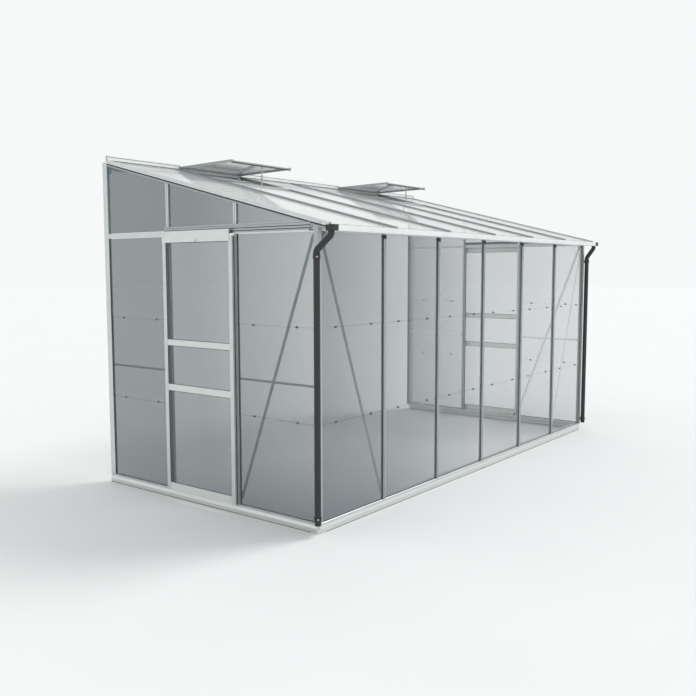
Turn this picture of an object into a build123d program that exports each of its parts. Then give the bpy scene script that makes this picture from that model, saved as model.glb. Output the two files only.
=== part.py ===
from build123d import *
import math
import os

# Lean-to greenhouse: six glazing bays long, three deep, single-pitch roof rising to the house wall.
# Millimetres, +Z up, ground at zero. +X runs along the front, +Y runs back to the house wall.
# Y is measured from the front glazing line until the last step, which centres the model on its origin.

# Overall module
BAY = 620.0
FRONT_BAYS = 6
END_BAYS = 3
DOOR_BAY = 2
DOOR_BAY_WIDTH = 594.0
VENT_BAYS = (2, 5)
ROOF_PITCH = 14.1

# Heights: the base and sill above the ground, the rest above the foot of the glazing
BASE_HEIGHT = 46.0
SILL_HEIGHT = 14.0
GLASS_LAPS = (545.0, 1080.0)
EAVES = 1604.0
TRACK_HEIGHT = 56.0
TRANSOM_HEIGHT = 31.0
MID_BAR_HEIGHT = 757.0
ROOF_OVER_EAVES = 64.0

# Clearances
SEAT = 0.3
EDGE_GAP = 2.0
CUT_OVER = 1.0

# Glass
GLASS = 3.0
LAP = 10.0
LAP_GAP = 0.4

# Glazing bar section: a nose outside the glass, a flange behind it, a web and a bulb inside
NOSE_OUT = 6.0
NOSE_WIDTH = 24.0
NOSE_DEPTH = 11.0
FLANGE_WIDTH = 34.0
FLANGE_THICK = 2.0
WEB_THICK = 3.0
BAR_DEPTH = 25.0
BULB_WIDTH = 10.0
BULB_DEPTH = 5.0
NOSE_GROOVE = 4.0
NOSE_GROOVE_DEPTH = 3.0

# Corner and wall posts
CORNER_LEG = 30.0
CORNER_CORE = 11.0
WALL_POST_NOSE = 46.0
WALL_POST_FLANGE = 10.0
WALL_POST_FOOT = 40.0

# Base profile, a folded steel sheet
BASE_STEEL = 2.0
BASE_OUT = 9.0
BASE_FACE = 26.0
BASE_TOP_OUT = 2.0
BASE_LEDGE = 34.0
BASE_FOOT = 25.0
CORNER_PIECE = 54.0
CORNER_ROUND = 24.0
CORNER_WALL = 3.0
JOINT_PLATE = 60.0
JOINT_PLATE_THICK = 1.5

# Sill profile
SILL_OUT = 6.0
SILL_IN = 34.0
SILL_BEVEL = 6.0
SILL_GROOVE = 2.0

# Rafters at the two ends
RAFTER_WIDTH = 24.0
RAFTER_DEPTH = 40.0
RAFTER_REST = 5.0
RAFTER_BEVEL = 8.0
RAFTER_GROOVE = 9.0
RAFTER_GROOVE_AT = 22.0
RAFTER_GROOVE_DEPTH = 8.0
GABLE_PANE_TIP = 3.0

# Eaves
ROOF_OVERHANG = 87.0
BEAM_DEPTH = 34.0
BEAM_HEIGHT = 22.0
GUTTER_FRONT = 122.0
GUTTER_BACK = 35.0
GUTTER_DROP = 3.0
GUTTER_HEIGHT = 31.0
GUTTER_BACK_HEIGHT = 27.0
GUTTER_WALL = 2.0
GUTTER_LIP = 6.0
GUTTER_RIBS = 3
GUTTER_RIB_OUT = 1.2

# Wall side
PLATE_THICK = 22.0
PLATE_HEIGHT = 90.0
PLATE_RISE = 15.0
PLATE_INSET = 20.0
LEDGE_OUT = 50.0
LEDGE_THICK = 5.5
FLASHING_THICK = 24.0
FLASHING_HEIGHT = 42.0
SHOE_REACH = 65.0
SHOE_WIDTH = 12.0
SHOE_HEIGHT = 45.0

# Roof vents, held open
VENT_LENGTH = 530.0
VENT_RISE = 1.1
VENT_FRAME = 14.0
VENT_CLEAR = 1.0
VENT_SIDE = 22.0
VENT_FRONT = 18.0
VENT_REAR = 26.0
VENT_SILL_AT = 1280.0
VENT_SILL_WIDTH = 24.0
VENT_SILL_RISE = 3.0
STAY_WIDTH = 14.0
STAY_THICK = 3.0

# Sliding doors
DOOR_WIDTH = 616.0
DOOR_BACK_LAP = 24.0
DOOR_BOTTOM = -5.0
DOOR_UNDER_TRACK = 8.0
STILE_WIDTH = 30.0
STILE_DEPTH = 12.0
DOOR_STANDOFF = 12.0
DOOR_GROOVE = 8.0
RAIL_DEPTH = 10.0
KICK_TOP = 46.0
MID_RAILS = ((640.0, 680.0), (925.0, 962.0))
HEADER_HEIGHT = 70.0
TOP_RAIL = 33.0
HEADER_THICK = 3.0
HEADER_INSET = 20.0
ROLLER_RADIUS = 8.0
ROLLER_WIDTH = 5.0
ROLLER_INSET = 20.0
ROLLER_OFF_EDGE = 1.0
AXLE_RADIUS = 3.0
TRACK_DEPTH = 6.0
TRACK_LIP_OUT = 12.0
TRACK_LIP = 4.0
TRACK_GROOVE = 5.0
TRACK_GROOVE_DEPTH = 3.5
TRACK_GROOVES = 3
TRACK_INSET = 40.0
STOP_WIDTH = 10.0
STOP_GAP = 2.0

# Stiffeners
BRACE_WIDTH = 20.0
BRACE_THICK = 3.0
BRACE_DOWN = 19.0
BRACE_FOOT = 12.0
MID_BAR_WIDTH = 14.0
GUSSET_LEG = 75.0

# Rainwater pipes
PIPE_RADIUS = 18.0
PIPE_WALL = 1.5
PIPE_X = 34.0
PIPE_Y = -20.0
PIPE_BOTTOM = 0.0
NECK_DROP = 107.0
NECK_BEND = 22.0
NECK_RUN = 12.0
NECK_SOCKET = 11.0
OUTLET_LENGTH = 40.0
OUTLET_FRONT = 127.0
OUTLET_BACK = 70.0
OUTLET_RIM = 1.0
OUTLET_WALL = 4.0
SPIGOT = 8.0
SPIGOT_Y = -93.0
CLIP_HEIGHT = 20.0
CLIP_TAB = 14.0
CLIP_WALL = 3.0
LOW_CLIP = 38.0
TOP_CLIP = 22.0

# Worked out from the values above
FOOT = BASE_HEIGHT + SILL_HEIGHT
LENGTH = FRONT_BAYS * BAY
DEPTH = END_BAYS * BAY
HALF = LENGTH / 2
DOOR_POSTS = ((DOOR_BAY - 1) * BAY, (DOOR_BAY - 1) * BAY + DOOR_BAY_WIDTH)
FRONT_LINES = [i * BAY for i in range(FRONT_BAYS + 1)]
END_LINES = [0, *DOOR_POSTS, DEPTH]
SLOPE = math.tan(math.radians(ROOF_PITCH))
COS_PITCH = math.cos(math.radians(ROOF_PITCH))
SIN_PITCH = math.sin(math.radians(ROOF_PITCH))
PANE_BACK = NOSE_DEPTH - SEAT
ROOF_AT_FRONT = EAVES + ROOF_OVER_EAVES
TRACK_TOP = EAVES + TRACK_HEIGHT
GUTTER_BOTTOM = EAVES - GUTTER_DROP
GUTTER_TOP = GUTTER_BOTTOM + GUTTER_HEIGHT
SPIGOT_END = GUTTER_BOTTOM - SPIGOT
PIPE_TOP = SPIGOT_END - NECK_DROP
DOOR_TOP = EAVES - DOOR_UNDER_TRACK
HEADER_BOTTOM = DOOR_TOP - TOP_RAIL
DOOR_BACK = DOOR_POSTS[1] + DOOR_BACK_LAP
DOOR_FRONT = DOOR_BACK - DOOR_WIDTH
TRACK_START = TRACK_INSET
TRACK_END = DOOR_BACK - ROLLER_INSET + ROLLER_RADIUS + STOP_GAP + STOP_WIDTH
TRACK_OUTER = -HALF - NOSE_OUT - SEAT - TRACK_DEPTH
DOOR_INNER = -HALF - NOSE_OUT - DOOR_STANDOFF
DOOR_OUTER = DOOR_INNER - STILE_DEPTH
DOOR_MIDDLE = (DOOR_OUTER + DOOR_INNER) / 2
EAVES_FACE = -NOSE_OUT
PLATE_FACE = DEPTH - PLATE_THICK
FLASHING_FACE = PLATE_FACE - FLASHING_THICK
BACK_OF_BARS = FLASHING_FACE - SEAT - BAR_DEPTH * SIN_PITCH
BACK_OF_RAFTERS = FLASHING_FACE - SEAT - RAFTER_DEPTH * SIN_PITCH
PLATE_TOP = ROOF_AT_FRONT + DEPTH * SLOPE + PLATE_RISE
PLATE_BOTTOM = PLATE_TOP - PLATE_HEIGHT
FLASHING_BOTTOM = PLATE_TOP - FLASHING_HEIGHT
LEDGE_TOP = ROOF_AT_FRONT + (PLATE_FACE - LEDGE_OUT) * SLOPE - BAR_DEPTH / COS_PITCH - SEAT
CORNER_REACH = CORNER_LEG - NOSE_OUT + (FLANGE_WIDTH - NOSE_WIDTH) / 2
Y_MIDDLE = (DEPTH - OUTLET_FRONT) / 2


def box(x0, x1, y0, y1, z0, z1):
    """A block between two corners."""
    return Pos((x0 + x1) / 2, (y0 + y1) / 2, (z0 + z1) / 2) * Box(x1 - x0, y1 - y0, z1 - z0)


def rect(u0, u1, v0, v1):
    """A flat rectangle between two corners of a section."""
    return Pos((u0 + u1) / 2, (v0 + v1) / 2) * Rectangle(u1 - u0, v1 - v0)


def outline(points):
    """A flat face inside a closed outline."""
    return make_face(Polyline(*points, close=True))


def up(height):
    """A height above the foot of the glazing, measured from the ground."""
    return FOOT + height


def roof_z(y, below=0.0):
    """Height of the roof plane at y, a given distance under the top of the bars."""
    return up(ROOF_AT_FRONT) + y * SLOPE - below / COS_PITCH


def mirrored(shape):
    """The same piece at the other end."""
    return mirror(shape, about=Plane.YZ)


def both_ends(shape):
    """A piece at the left end with its twin at the right end."""
    return [shape, mirrored(shape)]


def front_frame(x, z):
    """A section's plane on the front wall: width along X, depth inwards."""
    return Plane(origin=(x, EAVES_FACE, z), x_dir=(1, 0, 0), z_dir=(0, 0, 1))


def end_frame(y, z):
    """A section's plane on the left end wall: width along Y, depth inwards."""
    return Plane(origin=(-HALF - NOSE_OUT, y, z), x_dir=(0, -1, 0), z_dir=(0, 0, 1))


def roof_frame(x, y):
    """A section's plane on the roof: width along X, depth down through the roof, run up the slope."""
    return Plane(origin=(x, y, roof_z(y)), x_dir=(1, 0, 0), z_dir=(0, COS_PITCH, SIN_PITCH))


def slope_length(y0, y1):
    """Length along the roof between two places."""
    return (y1 - y0) / COS_PITCH


def bar_nose():
    """The part of a glazing bar that shows outside and carries the glass."""
    nose = rect(-NOSE_WIDTH / 2, NOSE_WIDTH / 2, 0, NOSE_DEPTH)
    flange = rect(-FLANGE_WIDTH / 2, FLANGE_WIDTH / 2, NOSE_DEPTH, NOSE_DEPTH + FLANGE_THICK)
    groove = rect(-NOSE_GROOVE / 2, NOSE_GROOVE / 2, 0, NOSE_GROOVE_DEPTH)
    return nose + flange - groove


def bar_web():
    """The inner web of a glazing bar, with its bulb."""
    web = rect(-WEB_THICK / 2, WEB_THICK / 2, NOSE_DEPTH + FLANGE_THICK, BAR_DEPTH)
    bulb = rect(-BULB_WIDTH / 2, BULB_WIDTH / 2, BAR_DEPTH - BULB_DEPTH, BAR_DEPTH)
    return web + bulb


def bar_section():
    """A whole glazing bar."""
    return bar_nose() + bar_web()


def above_roof(below):
    """Everything over the roof plane, for cutting uprights to the slope."""
    y0, y1 = -DEPTH, 2 * DEPTH
    sky = roof_z(y1) + DEPTH
    side = Plane.YZ * outline([(y0, roof_z(y0, below)), (y1, roof_z(y1, below)), (y1, sky), (y0, sky)])
    return Pos(-LENGTH, 0, 0) * extrude(side, 2 * LENGTH)


def base_section():
    """Folded steel: foot flange, upright face, sloping shoulder and top ledge, as depth and height."""
    t = BASE_STEEL
    return outline([
        (-BASE_OUT, 0), (-BASE_OUT, BASE_FACE), (-BASE_TOP_OUT, BASE_HEIGHT), (BASE_LEDGE, BASE_HEIGHT),
        (BASE_LEDGE, BASE_HEIGHT - t), (-BASE_TOP_OUT + t, BASE_HEIGHT - t), (-BASE_OUT + t, BASE_FACE),
        (-BASE_OUT + t, t), (BASE_FOOT, t), (BASE_FOOT, 0),
    ])


def base_run_front(x0, x1):
    """A length of base along the front."""
    plane = Plane(origin=(x0, 0, 0), x_dir=(0, 1, 0), z_dir=(1, 0, 0))
    return extrude(plane * base_section(), x1 - x0)


def base_run_end():
    """The base along the left end, from the corner piece to the house wall."""
    start = CORNER_PIECE - BASE_OUT
    plane = Plane(origin=(-HALF, DEPTH, 0), x_dir=(1, 0, 0), z_dir=(0, -1, 0))
    return extrude(plane * base_section(), DEPTH - start)


def rounded_corner(out, z):
    """The corner piece's outline at a height, rounded where the front and the end meet."""
    inner = CORNER_PIECE - BASE_OUT
    plane = Plane(origin=(-HALF, 0, z))
    square = rect(-out, inner, -out, inner)
    outer = square.vertices().sort_by(Axis.X)[:2].sort_by(Axis.Y)[0]
    return plane * fillet(outer, CORNER_ROUND)


def base_corner():
    """Moulded corner piece that joins two runs of base."""
    lower = extrude(rounded_corner(BASE_OUT, 0), BASE_FACE)
    upper = loft([rounded_corner(BASE_OUT, BASE_FACE), rounded_corner(BASE_TOP_OUT, BASE_HEIGHT)])
    inner = CORNER_PIECE - BASE_OUT
    hollow = box(-HALF, -HALF + inner, 0, inner, CORNER_WALL, BASE_HEIGHT - CORNER_WALL)
    return lower + upper - hollow


def base_joint_plate():
    """Plate behind the joint in the middle of the front base."""
    depth = BASE_OUT - BASE_STEEL - SEAT
    half = JOINT_PLATE / 2
    return box(-half, half, -depth, -depth + JOINT_PLATE_THICK, BASE_STEEL + SEAT, BASE_FACE)


def sill_section():
    """Bottom rail: bevelled outer edge with a drip groove, as depth and height."""
    rail = outline([
        (-SILL_OUT, 0), (-SILL_OUT, SILL_HEIGHT - SILL_BEVEL), (0, SILL_HEIGHT),
        (SILL_IN, SILL_HEIGHT), (SILL_IN, 0),
    ])
    return rail - rect(-SILL_OUT, -SILL_OUT + SILL_GROOVE, SILL_GROOVE, 2 * SILL_GROOVE)


def sill_front():
    """Bottom rail along the front, from end face to end face."""
    plane = Plane(origin=(-HALF - SILL_OUT, 0, BASE_HEIGHT), x_dir=(0, 1, 0), z_dir=(1, 0, 0))
    return extrude(plane * sill_section(), LENGTH + 2 * SILL_OUT)


def sill_end():
    """Bottom rail along the left end, behind the front rail."""
    plane = Plane(origin=(-HALF, DEPTH, BASE_HEIGHT), x_dir=(1, 0, 0), z_dir=(0, -1, 0))
    return extrude(plane * sill_section(), DEPTH - SILL_IN - SEAT)


def corner_post():
    """Corner post: an outer angle with a flange behind each pane and a solid core."""
    back = NOSE_DEPTH - NOSE_OUT
    leg = CORNER_LEG - NOSE_OUT
    outer = rect(-NOSE_OUT, leg, -NOSE_OUT, back) + rect(-NOSE_OUT, back, -NOSE_OUT, leg)
    inside = back + FLANGE_THICK
    flanges = rect(back, CORNER_REACH, back, inside) + rect(back, inside, back, CORNER_REACH)
    core = rect(back, back + CORNER_CORE, back, back + CORNER_CORE)
    plane = Plane(origin=(-HALF, 0, FOOT))
    post = extrude(plane * (outer + flanges + core), roof_z(CORNER_LEG) - FOOT)
    return post - above_roof(RAFTER_DEPTH + SEAT)


def wall_post():
    """Post against the house wall: nose and flange for the glass, and a shoe under the rafter."""
    back = NOSE_DEPTH - NOSE_OUT
    inside = back + FLANGE_THICK
    nose = rect(-NOSE_OUT, back, DEPTH - WALL_POST_NOSE, DEPTH)
    flange = rect(back, inside, DEPTH - WALL_POST_NOSE - WALL_POST_FLANGE, DEPTH)
    foot = rect(back, WALL_POST_FOOT - NOSE_OUT, DEPTH - WEB_THICK, DEPTH)
    post = extrude(Plane(origin=(-HALF, 0, FOOT)) * (nose + flange + foot), FLASHING_BOTTOM - SEAT)
    over_rafter = above_roof(RAFTER_DEPTH + SEAT)
    post -= over_rafter & box(-HALF, 0, 0, DEPTH - WALL_POST_NOSE, FOOT, up(PLATE_TOP))
    front = DEPTH - SHOE_REACH
    shoe_x = -HALF + inside
    shoe_foot = roof_z(front, RAFTER_DEPTH) - SHOE_HEIGHT
    shoe = box(shoe_x, shoe_x + SHOE_WIDTH, front, DEPTH, shoe_foot, roof_z(DEPTH))
    shoe -= over_rafter
    shoe -= box(-HALF, 0, front, DEPTH, up(FLASHING_BOTTOM) - SEAT, up(PLATE_TOP))
    return post + shoe


def door_post(y):
    """Upright at one side of the door bay, running on up to the rafter."""
    post = extrude(end_frame(y, FOOT) * bar_section(), roof_z(y + BAY) - FOOT)
    return post - above_roof(RAFTER_DEPTH + SEAT)


def door_posts():
    """Both uprights of the left end."""
    return [door_post(y) for y in DOOR_POSTS]


def front_glazing_bars():
    """Uprights of the front wall, one between each pair of bays."""
    height = EAVES - SEAT
    return [extrude(front_frame(-HALF + i * BAY, FOOT) * bar_section(), height) for i in range(1, FRONT_BAYS)]


def eaves_beam():
    """Beam over the front bars, its top cut to the slope of the roof bars."""
    x = HALF - CORNER_REACH - SEAT
    beam = box(-x, x, EAVES_FACE, BEAM_DEPTH, up(EAVES), up(EAVES + 2 * BEAM_HEIGHT))
    return beam - above_roof(BAR_DEPTH + SEAT)


def gutter_run(section):
    """A gutter profile, as depth and height, run between the two outlets."""
    x = HALF - OUTLET_LENGTH / 2 - SEAT
    plane = Plane(origin=(-x, 0, FOOT), x_dir=(0, 1, 0), z_dir=(1, 0, 0))
    return extrude(plane * section, 2 * x)


def gutter_floor():
    """Floor of the rain gutter, which the front and the back stand on."""
    return gutter_run(rect(-GUTTER_FRONT, -GUTTER_BACK, GUTTER_BOTTOM, GUTTER_BOTTOM + GUTTER_WALL))


def gutter_front():
    """Front of the rain gutter, with its pressed ribs and rolled lip."""
    w = GUTTER_WALL
    face = -GUTTER_FRONT
    section = rect(face, face + w, GUTTER_BOTTOM + w + SEAT, GUTTER_TOP)
    section += rect(face, face + GUTTER_LIP, GUTTER_TOP - w, GUTTER_TOP)
    for i in range(GUTTER_RIBS):
        z = GUTTER_BOTTOM + (i + 1) * GUTTER_HEIGHT / (GUTTER_RIBS + 1)
        section += rect(face - GUTTER_RIB_OUT, face, z - GUTTER_RIB_OUT, z + GUTTER_RIB_OUT)
    return gutter_run(section)


def gutter_back():
    """Back of the rain gutter, with the shelf that hangs it on the eaves."""
    w = GUTTER_WALL
    z = GUTTER_BOTTOM
    section = rect(-GUTTER_BACK - w, -GUTTER_BACK, z + w + SEAT, z + GUTTER_BACK_HEIGHT)
    section += rect(-GUTTER_BACK, EAVES_FACE - SEAT, z + 2 * w, z + 4 * w)
    return gutter_run(section)


def transom(y0, y1):
    """A cross rail of the left end wall, between two uprights."""
    x = -HALF - NOSE_OUT
    rail = box(x, x + NOSE_DEPTH - SEAT, y0 + SEAT, y1 - SEAT, up(EAVES), up(EAVES + TRANSOM_HEIGHT))
    return rail - above_roof(RAFTER_DEPTH + SEAT)


def transoms():
    """Cross rails over the three bays of the left end."""
    half = NOSE_WIDTH / 2
    first, second = DOOR_POSTS
    return [
        transom(CORNER_LEG - NOSE_OUT, first - half),
        transom(first + half, second - half),
        transom(second + half, DEPTH - WALL_POST_NOSE),
    ]


def door_track():
    """Track that the left door hangs from: grooved face, running lip below and a stop at each end."""
    face, outer, lip = TRACK_OUTER + TRACK_DEPTH, TRACK_OUTER, TRACK_OUTER - TRACK_LIP_OUT
    z0, z1 = up(EAVES), up(TRACK_TOP)
    track = box(outer, face, TRACK_START, TRACK_END, z0, z1)
    track += box(lip, outer, TRACK_START, TRACK_END, z0, z0 + TRACK_LIP)
    first = z0 + TRACK_LIP + 2 * TRACK_GROOVE
    for i in range(TRACK_GROOVES):
        z = first + i * 3 * TRACK_GROOVE
        track -= box(outer, outer + TRACK_GROOVE_DEPTH, TRACK_START, TRACK_END, z, z + TRACK_GROOVE)
    for y in (TRACK_START, TRACK_END - STOP_WIDTH):
        track += box(lip, outer, y, y + STOP_WIDTH, z0 + TRACK_LIP, z0 + TRACK_LIP + ROLLER_RADIUS)
    return track - above_roof(RAFTER_DEPTH + SEAT)


def end_rafter():
    """Rafter over the left end: a bevelled edge, an outer groove and a rest for the roof glass."""
    half = RAFTER_WIDTH / 2
    section = outline([
        (-half, RAFTER_BEVEL), (-half + RAFTER_BEVEL, 0), (half, 0),
        (half, RAFTER_DEPTH), (-half, RAFTER_DEPTH),
    ])
    section += rect(half, half + RAFTER_REST, NOSE_DEPTH, NOSE_DEPTH + FLANGE_THICK)
    groove_end = RAFTER_GROOVE_AT + RAFTER_GROOVE
    section -= rect(-half, -half + RAFTER_GROOVE_DEPTH, RAFTER_GROOVE_AT, groove_end)
    y0, y1 = -ROOF_OVERHANG, BACK_OF_RAFTERS
    rafter = extrude(roof_frame(-HALF, y0) * section, slope_length(y0, y1))
    notch = rect(-RAFTER_WIDTH, RAFTER_WIDTH, NOSE_DEPTH + FLANGE_THICK, RAFTER_DEPTH + CUT_OVER)
    return rafter - extrude(roof_frame(-HALF, y0) * notch, slope_length(y0, -GUTTER_BACK + BAR_DEPTH / 2))


def roof_bar(x):
    """A roof bar: the web starts behind the gutter, the nose runs on to the eaves."""
    y0, y1 = -ROOF_OVERHANG, BACK_OF_BARS
    nose = extrude(roof_frame(x, y0) * bar_nose(), slope_length(y0, y1))
    web = extrude(roof_frame(x, 0) * bar_web(), slope_length(0, y1))
    return nose + web


def roof_bars():
    """Roof bars in line with the front bars."""
    return [roof_bar(-HALF + i * BAY) for i in range(1, FRONT_BAYS)]


def wall_plate():
    """Plate fixed to the house wall: its ledge carries the roof bars, its top reaches over the wall posts."""
    edge = HALF - PLATE_INSET
    between = HALF - WALL_POST_FOOT + NOSE_OUT - SEAT
    upper = box(-edge, edge, PLATE_FACE, DEPTH, up(FLASHING_BOTTOM), up(PLATE_TOP))
    lower = box(-between, between, PLATE_FACE, DEPTH, up(PLATE_BOTTOM), up(FLASHING_BOTTOM))
    ledge = box(-edge, edge, PLATE_FACE - LEDGE_OUT, PLATE_FACE, up(LEDGE_TOP - LEDGE_THICK), up(LEDGE_TOP))
    return upper + lower + ledge


def bay_left(bay):
    """Left edge of a bay of the front, counted from one."""
    return -HALF + (bay - 1) * BAY


def plain_runs():
    """Stretches of the ridge between the vents, as pairs of X."""
    runs = []
    start = -HALF
    for bay in VENT_BAYS:
        runs.append((start, bay_left(bay)))
        start = bay_left(bay) + BAY
    runs.append((start, HALF))
    return runs


def flashing():
    """Boxed flashing behind the tops of the roof bars, broken at each vent."""
    y0, y1 = FLASHING_FACE, PLATE_FACE - SEAT
    return [box(x0, x1, y0, y1, up(FLASHING_BOTTOM), up(PLATE_TOP)) for x0, x1 in plain_runs()]


def vent_hinge_z():
    """Height of a vent's middle at its hinge: just over the tops of the roof bars."""
    return roof_z(FLASHING_FACE) + VENT_CLEAR + VENT_FRAME / 2


def vent_hinge_bars():
    """Bars on the wall plate that the vents hinge on."""
    bars = []
    y0, y1 = FLASHING_FACE, PLATE_FACE - SEAT
    top = vent_hinge_z() + VENT_FRAME / 2
    for bay in VENT_BAYS:
        x0 = bay_left(bay) + EDGE_GAP
        x1 = x0 + BAY - 2 * EDGE_GAP
        bars.append(box(x0, x1, y0, y1, up(FLASHING_BOTTOM), top))
    return bars


def vent_frame(bay):
    """A plane through an open vent: X across, Y back to the hinge, Z up through the leaf."""
    rise = math.radians(VENT_RISE)
    x = bay_left(bay) + BAY / 2
    y = FLASHING_FACE - SEAT - VENT_FRAME * math.sin(rise)
    return Plane(origin=(x, y, vent_hinge_z()), x_dir=(1, 0, 0), z_dir=(0, math.sin(rise), math.cos(rise)))


def vent_part(bay, x0, x1, y0, y1, z0, z1):
    """A block in a vent's own frame."""
    return vent_frame(bay) * box(x0, x1, y0, y1, z0, z1)


def vent_side_rails():
    """The two side rails of each vent."""
    half = BAY / 2 - EDGE_GAP
    thick = VENT_FRAME / 2
    rails = []
    for bay in VENT_BAYS:
        for side in (-1, 1):
            x0, x1 = sorted((side * half, side * (half - VENT_SIDE)))
            rails.append(vent_part(bay, x0, x1, -VENT_LENGTH, 0, -thick, thick))
    return rails


def vent_cross_rails():
    """The front and the hinge rail of each vent."""
    half = BAY / 2 - EDGE_GAP - VENT_SIDE - SEAT
    thick = VENT_FRAME / 2
    rails = []
    for bay in VENT_BAYS:
        rails.append(vent_part(bay, -half, half, -VENT_LENGTH, -VENT_LENGTH + VENT_FRONT, -thick, 0))
        rails.append(vent_part(bay, -half, half, -VENT_REAR, 0, -thick, thick))
    return rails


def vent_glass():
    """The pane of each vent, lying on its front rail."""
    half = BAY / 2 - EDGE_GAP - VENT_SIDE - SEAT
    y0, y1 = -VENT_LENGTH + SEAT, -VENT_REAR - SEAT
    return [vent_part(bay, -half, half, y0, y1, SEAT, GLASS + SEAT) for bay in VENT_BAYS]


def vent_sills():
    """Bar across the roof under the front edge of each vent."""
    half = BAY / 2 - NOSE_WIDTH / 2 - SEAT
    sills = []
    for bay in VENT_BAYS:
        plane = roof_frame(bay_left(bay) + BAY / 2, VENT_SILL_AT)
        section = rect(-half, half, -VENT_SILL_RISE, PANE_BACK - GLASS - SEAT)
        sills.append(extrude(plane * section, VENT_SILL_WIDTH))
    return sills


def vent_stays():
    """Flat bar that props each vent open, from its sill to its front rail."""
    stays = []
    for bay in VENT_BAYS:
        x = bay_left(bay) + BAY / 2
        leaf = vent_frame(bay)
        y1 = VENT_SILL_AT + VENT_SILL_WIDTH / 2
        y0 = y1 - STAY_THICK
        z0 = roof_z(y1, -VENT_SILL_RISE) + SEAT
        reach = leaf.origin.Y - (y0 + y1) / 2
        z1 = leaf.origin.Z + reach * math.sin(math.radians(VENT_RISE)) - VENT_FRAME / 2 - SEAT
        stays.append(box(x - STAY_WIDTH / 2, x + STAY_WIDTH / 2, y0, y1, z0, z1))
    return stays


def strut(plane, a, b, depth, width, thick):
    """A flat bar between two points of a wall, lying a given depth inside it."""
    du, dz = b[0] - a[0], b[1] - a[1]
    length = math.hypot(du, dz)
    along = math.degrees(math.atan2(dz, du))
    bar = Pos((a[0] + b[0]) / 2, (a[1] + b[1]) / 2) * Rot(0, 0, along) * Rectangle(length, width)
    return extrude(plane * bar, thick)


def front_wall_plane(depth):
    """The front wall as a plane of X and height, a given depth behind its face."""
    return Plane(origin=(-HALF, EAVES_FACE + depth, FOOT), x_dir=(1, 0, 0), z_dir=(0, -1, 0))


def end_wall_plane(depth):
    """The left end wall as a plane of Y and height, a given depth behind its face."""
    return Plane(origin=(-HALF - NOSE_OUT + depth, 0, FOOT), x_dir=(0, 1, 0), z_dir=(1, 0, 0))


def brace_line():
    """Ends of a brace: under the eaves at the corner post, and at the foot of the first bar."""
    reach = NOSE_DEPTH - NOSE_OUT + CORNER_CORE
    top = (reach + BRACE_WIDTH, EAVES - BRACE_DOWN)
    foot = (BAY - WEB_THICK - BRACE_WIDTH / 2, BRACE_FOOT + BRACE_WIDTH)
    return top, foot


def front_brace():
    """Flat brace inside the first front bay."""
    top, foot = brace_line()
    depth = NOSE_DEPTH + FLANGE_THICK + SEAT
    return strut(front_wall_plane(depth + BRACE_THICK), top, foot, depth, BRACE_WIDTH, BRACE_THICK)


def end_brace():
    """Flat brace inside the front bay of the left end."""
    top, foot = brace_line()
    depth = NOSE_DEPTH + FLANGE_THICK + SEAT
    return strut(end_wall_plane(depth), top, foot, depth, BRACE_WIDTH, BRACE_THICK)


def mid_bars_left():
    """Thin cross bars inside the two side bays of the left end."""
    depth = NOSE_DEPTH + FLANGE_THICK + 2 * SEAT + BRACE_THICK
    x0 = -HALF - NOSE_OUT + depth
    z0 = up(MID_BAR_HEIGHT) - MID_BAR_WIDTH / 2
    web = WEB_THICK / 2 + SEAT
    core = NOSE_DEPTH - NOSE_OUT + CORNER_CORE + SEAT
    spans = ((core, DOOR_POSTS[0] - web), (DOOR_POSTS[1] + web, DEPTH - WEB_THICK - SEAT))
    return [box(x0, x0 + BRACE_THICK, y0, y1, z0, z0 + MID_BAR_WIDTH) for y0, y1 in spans]


def corner_gusset():
    """Triangular plate under the eaves beam inside the corner post."""
    depth = NOSE_DEPTH + FLANGE_THICK + 2 * SEAT + BRACE_THICK
    reach = NOSE_DEPTH - NOSE_OUT + CORNER_CORE + SEAT
    top = EAVES - SEAT
    plate = outline([(reach, top), (reach + GUSSET_LEG, top), (reach, top - GUSSET_LEG)])
    return extrude(front_wall_plane(depth + BRACE_THICK) * plate, BRACE_THICK)


def gutter_outlet():
    """Moulded end box of the gutter with its spigot."""
    x0, x1 = -HALF - OUTLET_LENGTH / 2, -HALF + OUTLET_LENGTH / 2
    body = box(x0, x1, -OUTLET_FRONT, -OUTLET_BACK, up(GUTTER_BOTTOM), up(GUTTER_TOP + OUTLET_RIM))
    w = OUTLET_WALL
    top = up(GUTTER_TOP + OUTLET_RIM) + CUT_OVER
    pocket = box(x0 + w, x1 - w, -OUTLET_FRONT + w, -OUTLET_BACK - w, up(GUTTER_BOTTOM) + w, top)
    ring = Circle(PIPE_RADIUS)
    bore = Circle(PIPE_RADIUS - PIPE_WALL)
    plane = Plane(origin=(-HALF, SPIGOT_Y, up(SPIGOT_END)))
    return body - pocket + extrude(plane * ring, SPIGOT) - extrude(plane * bore, SPIGOT + w)


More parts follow.
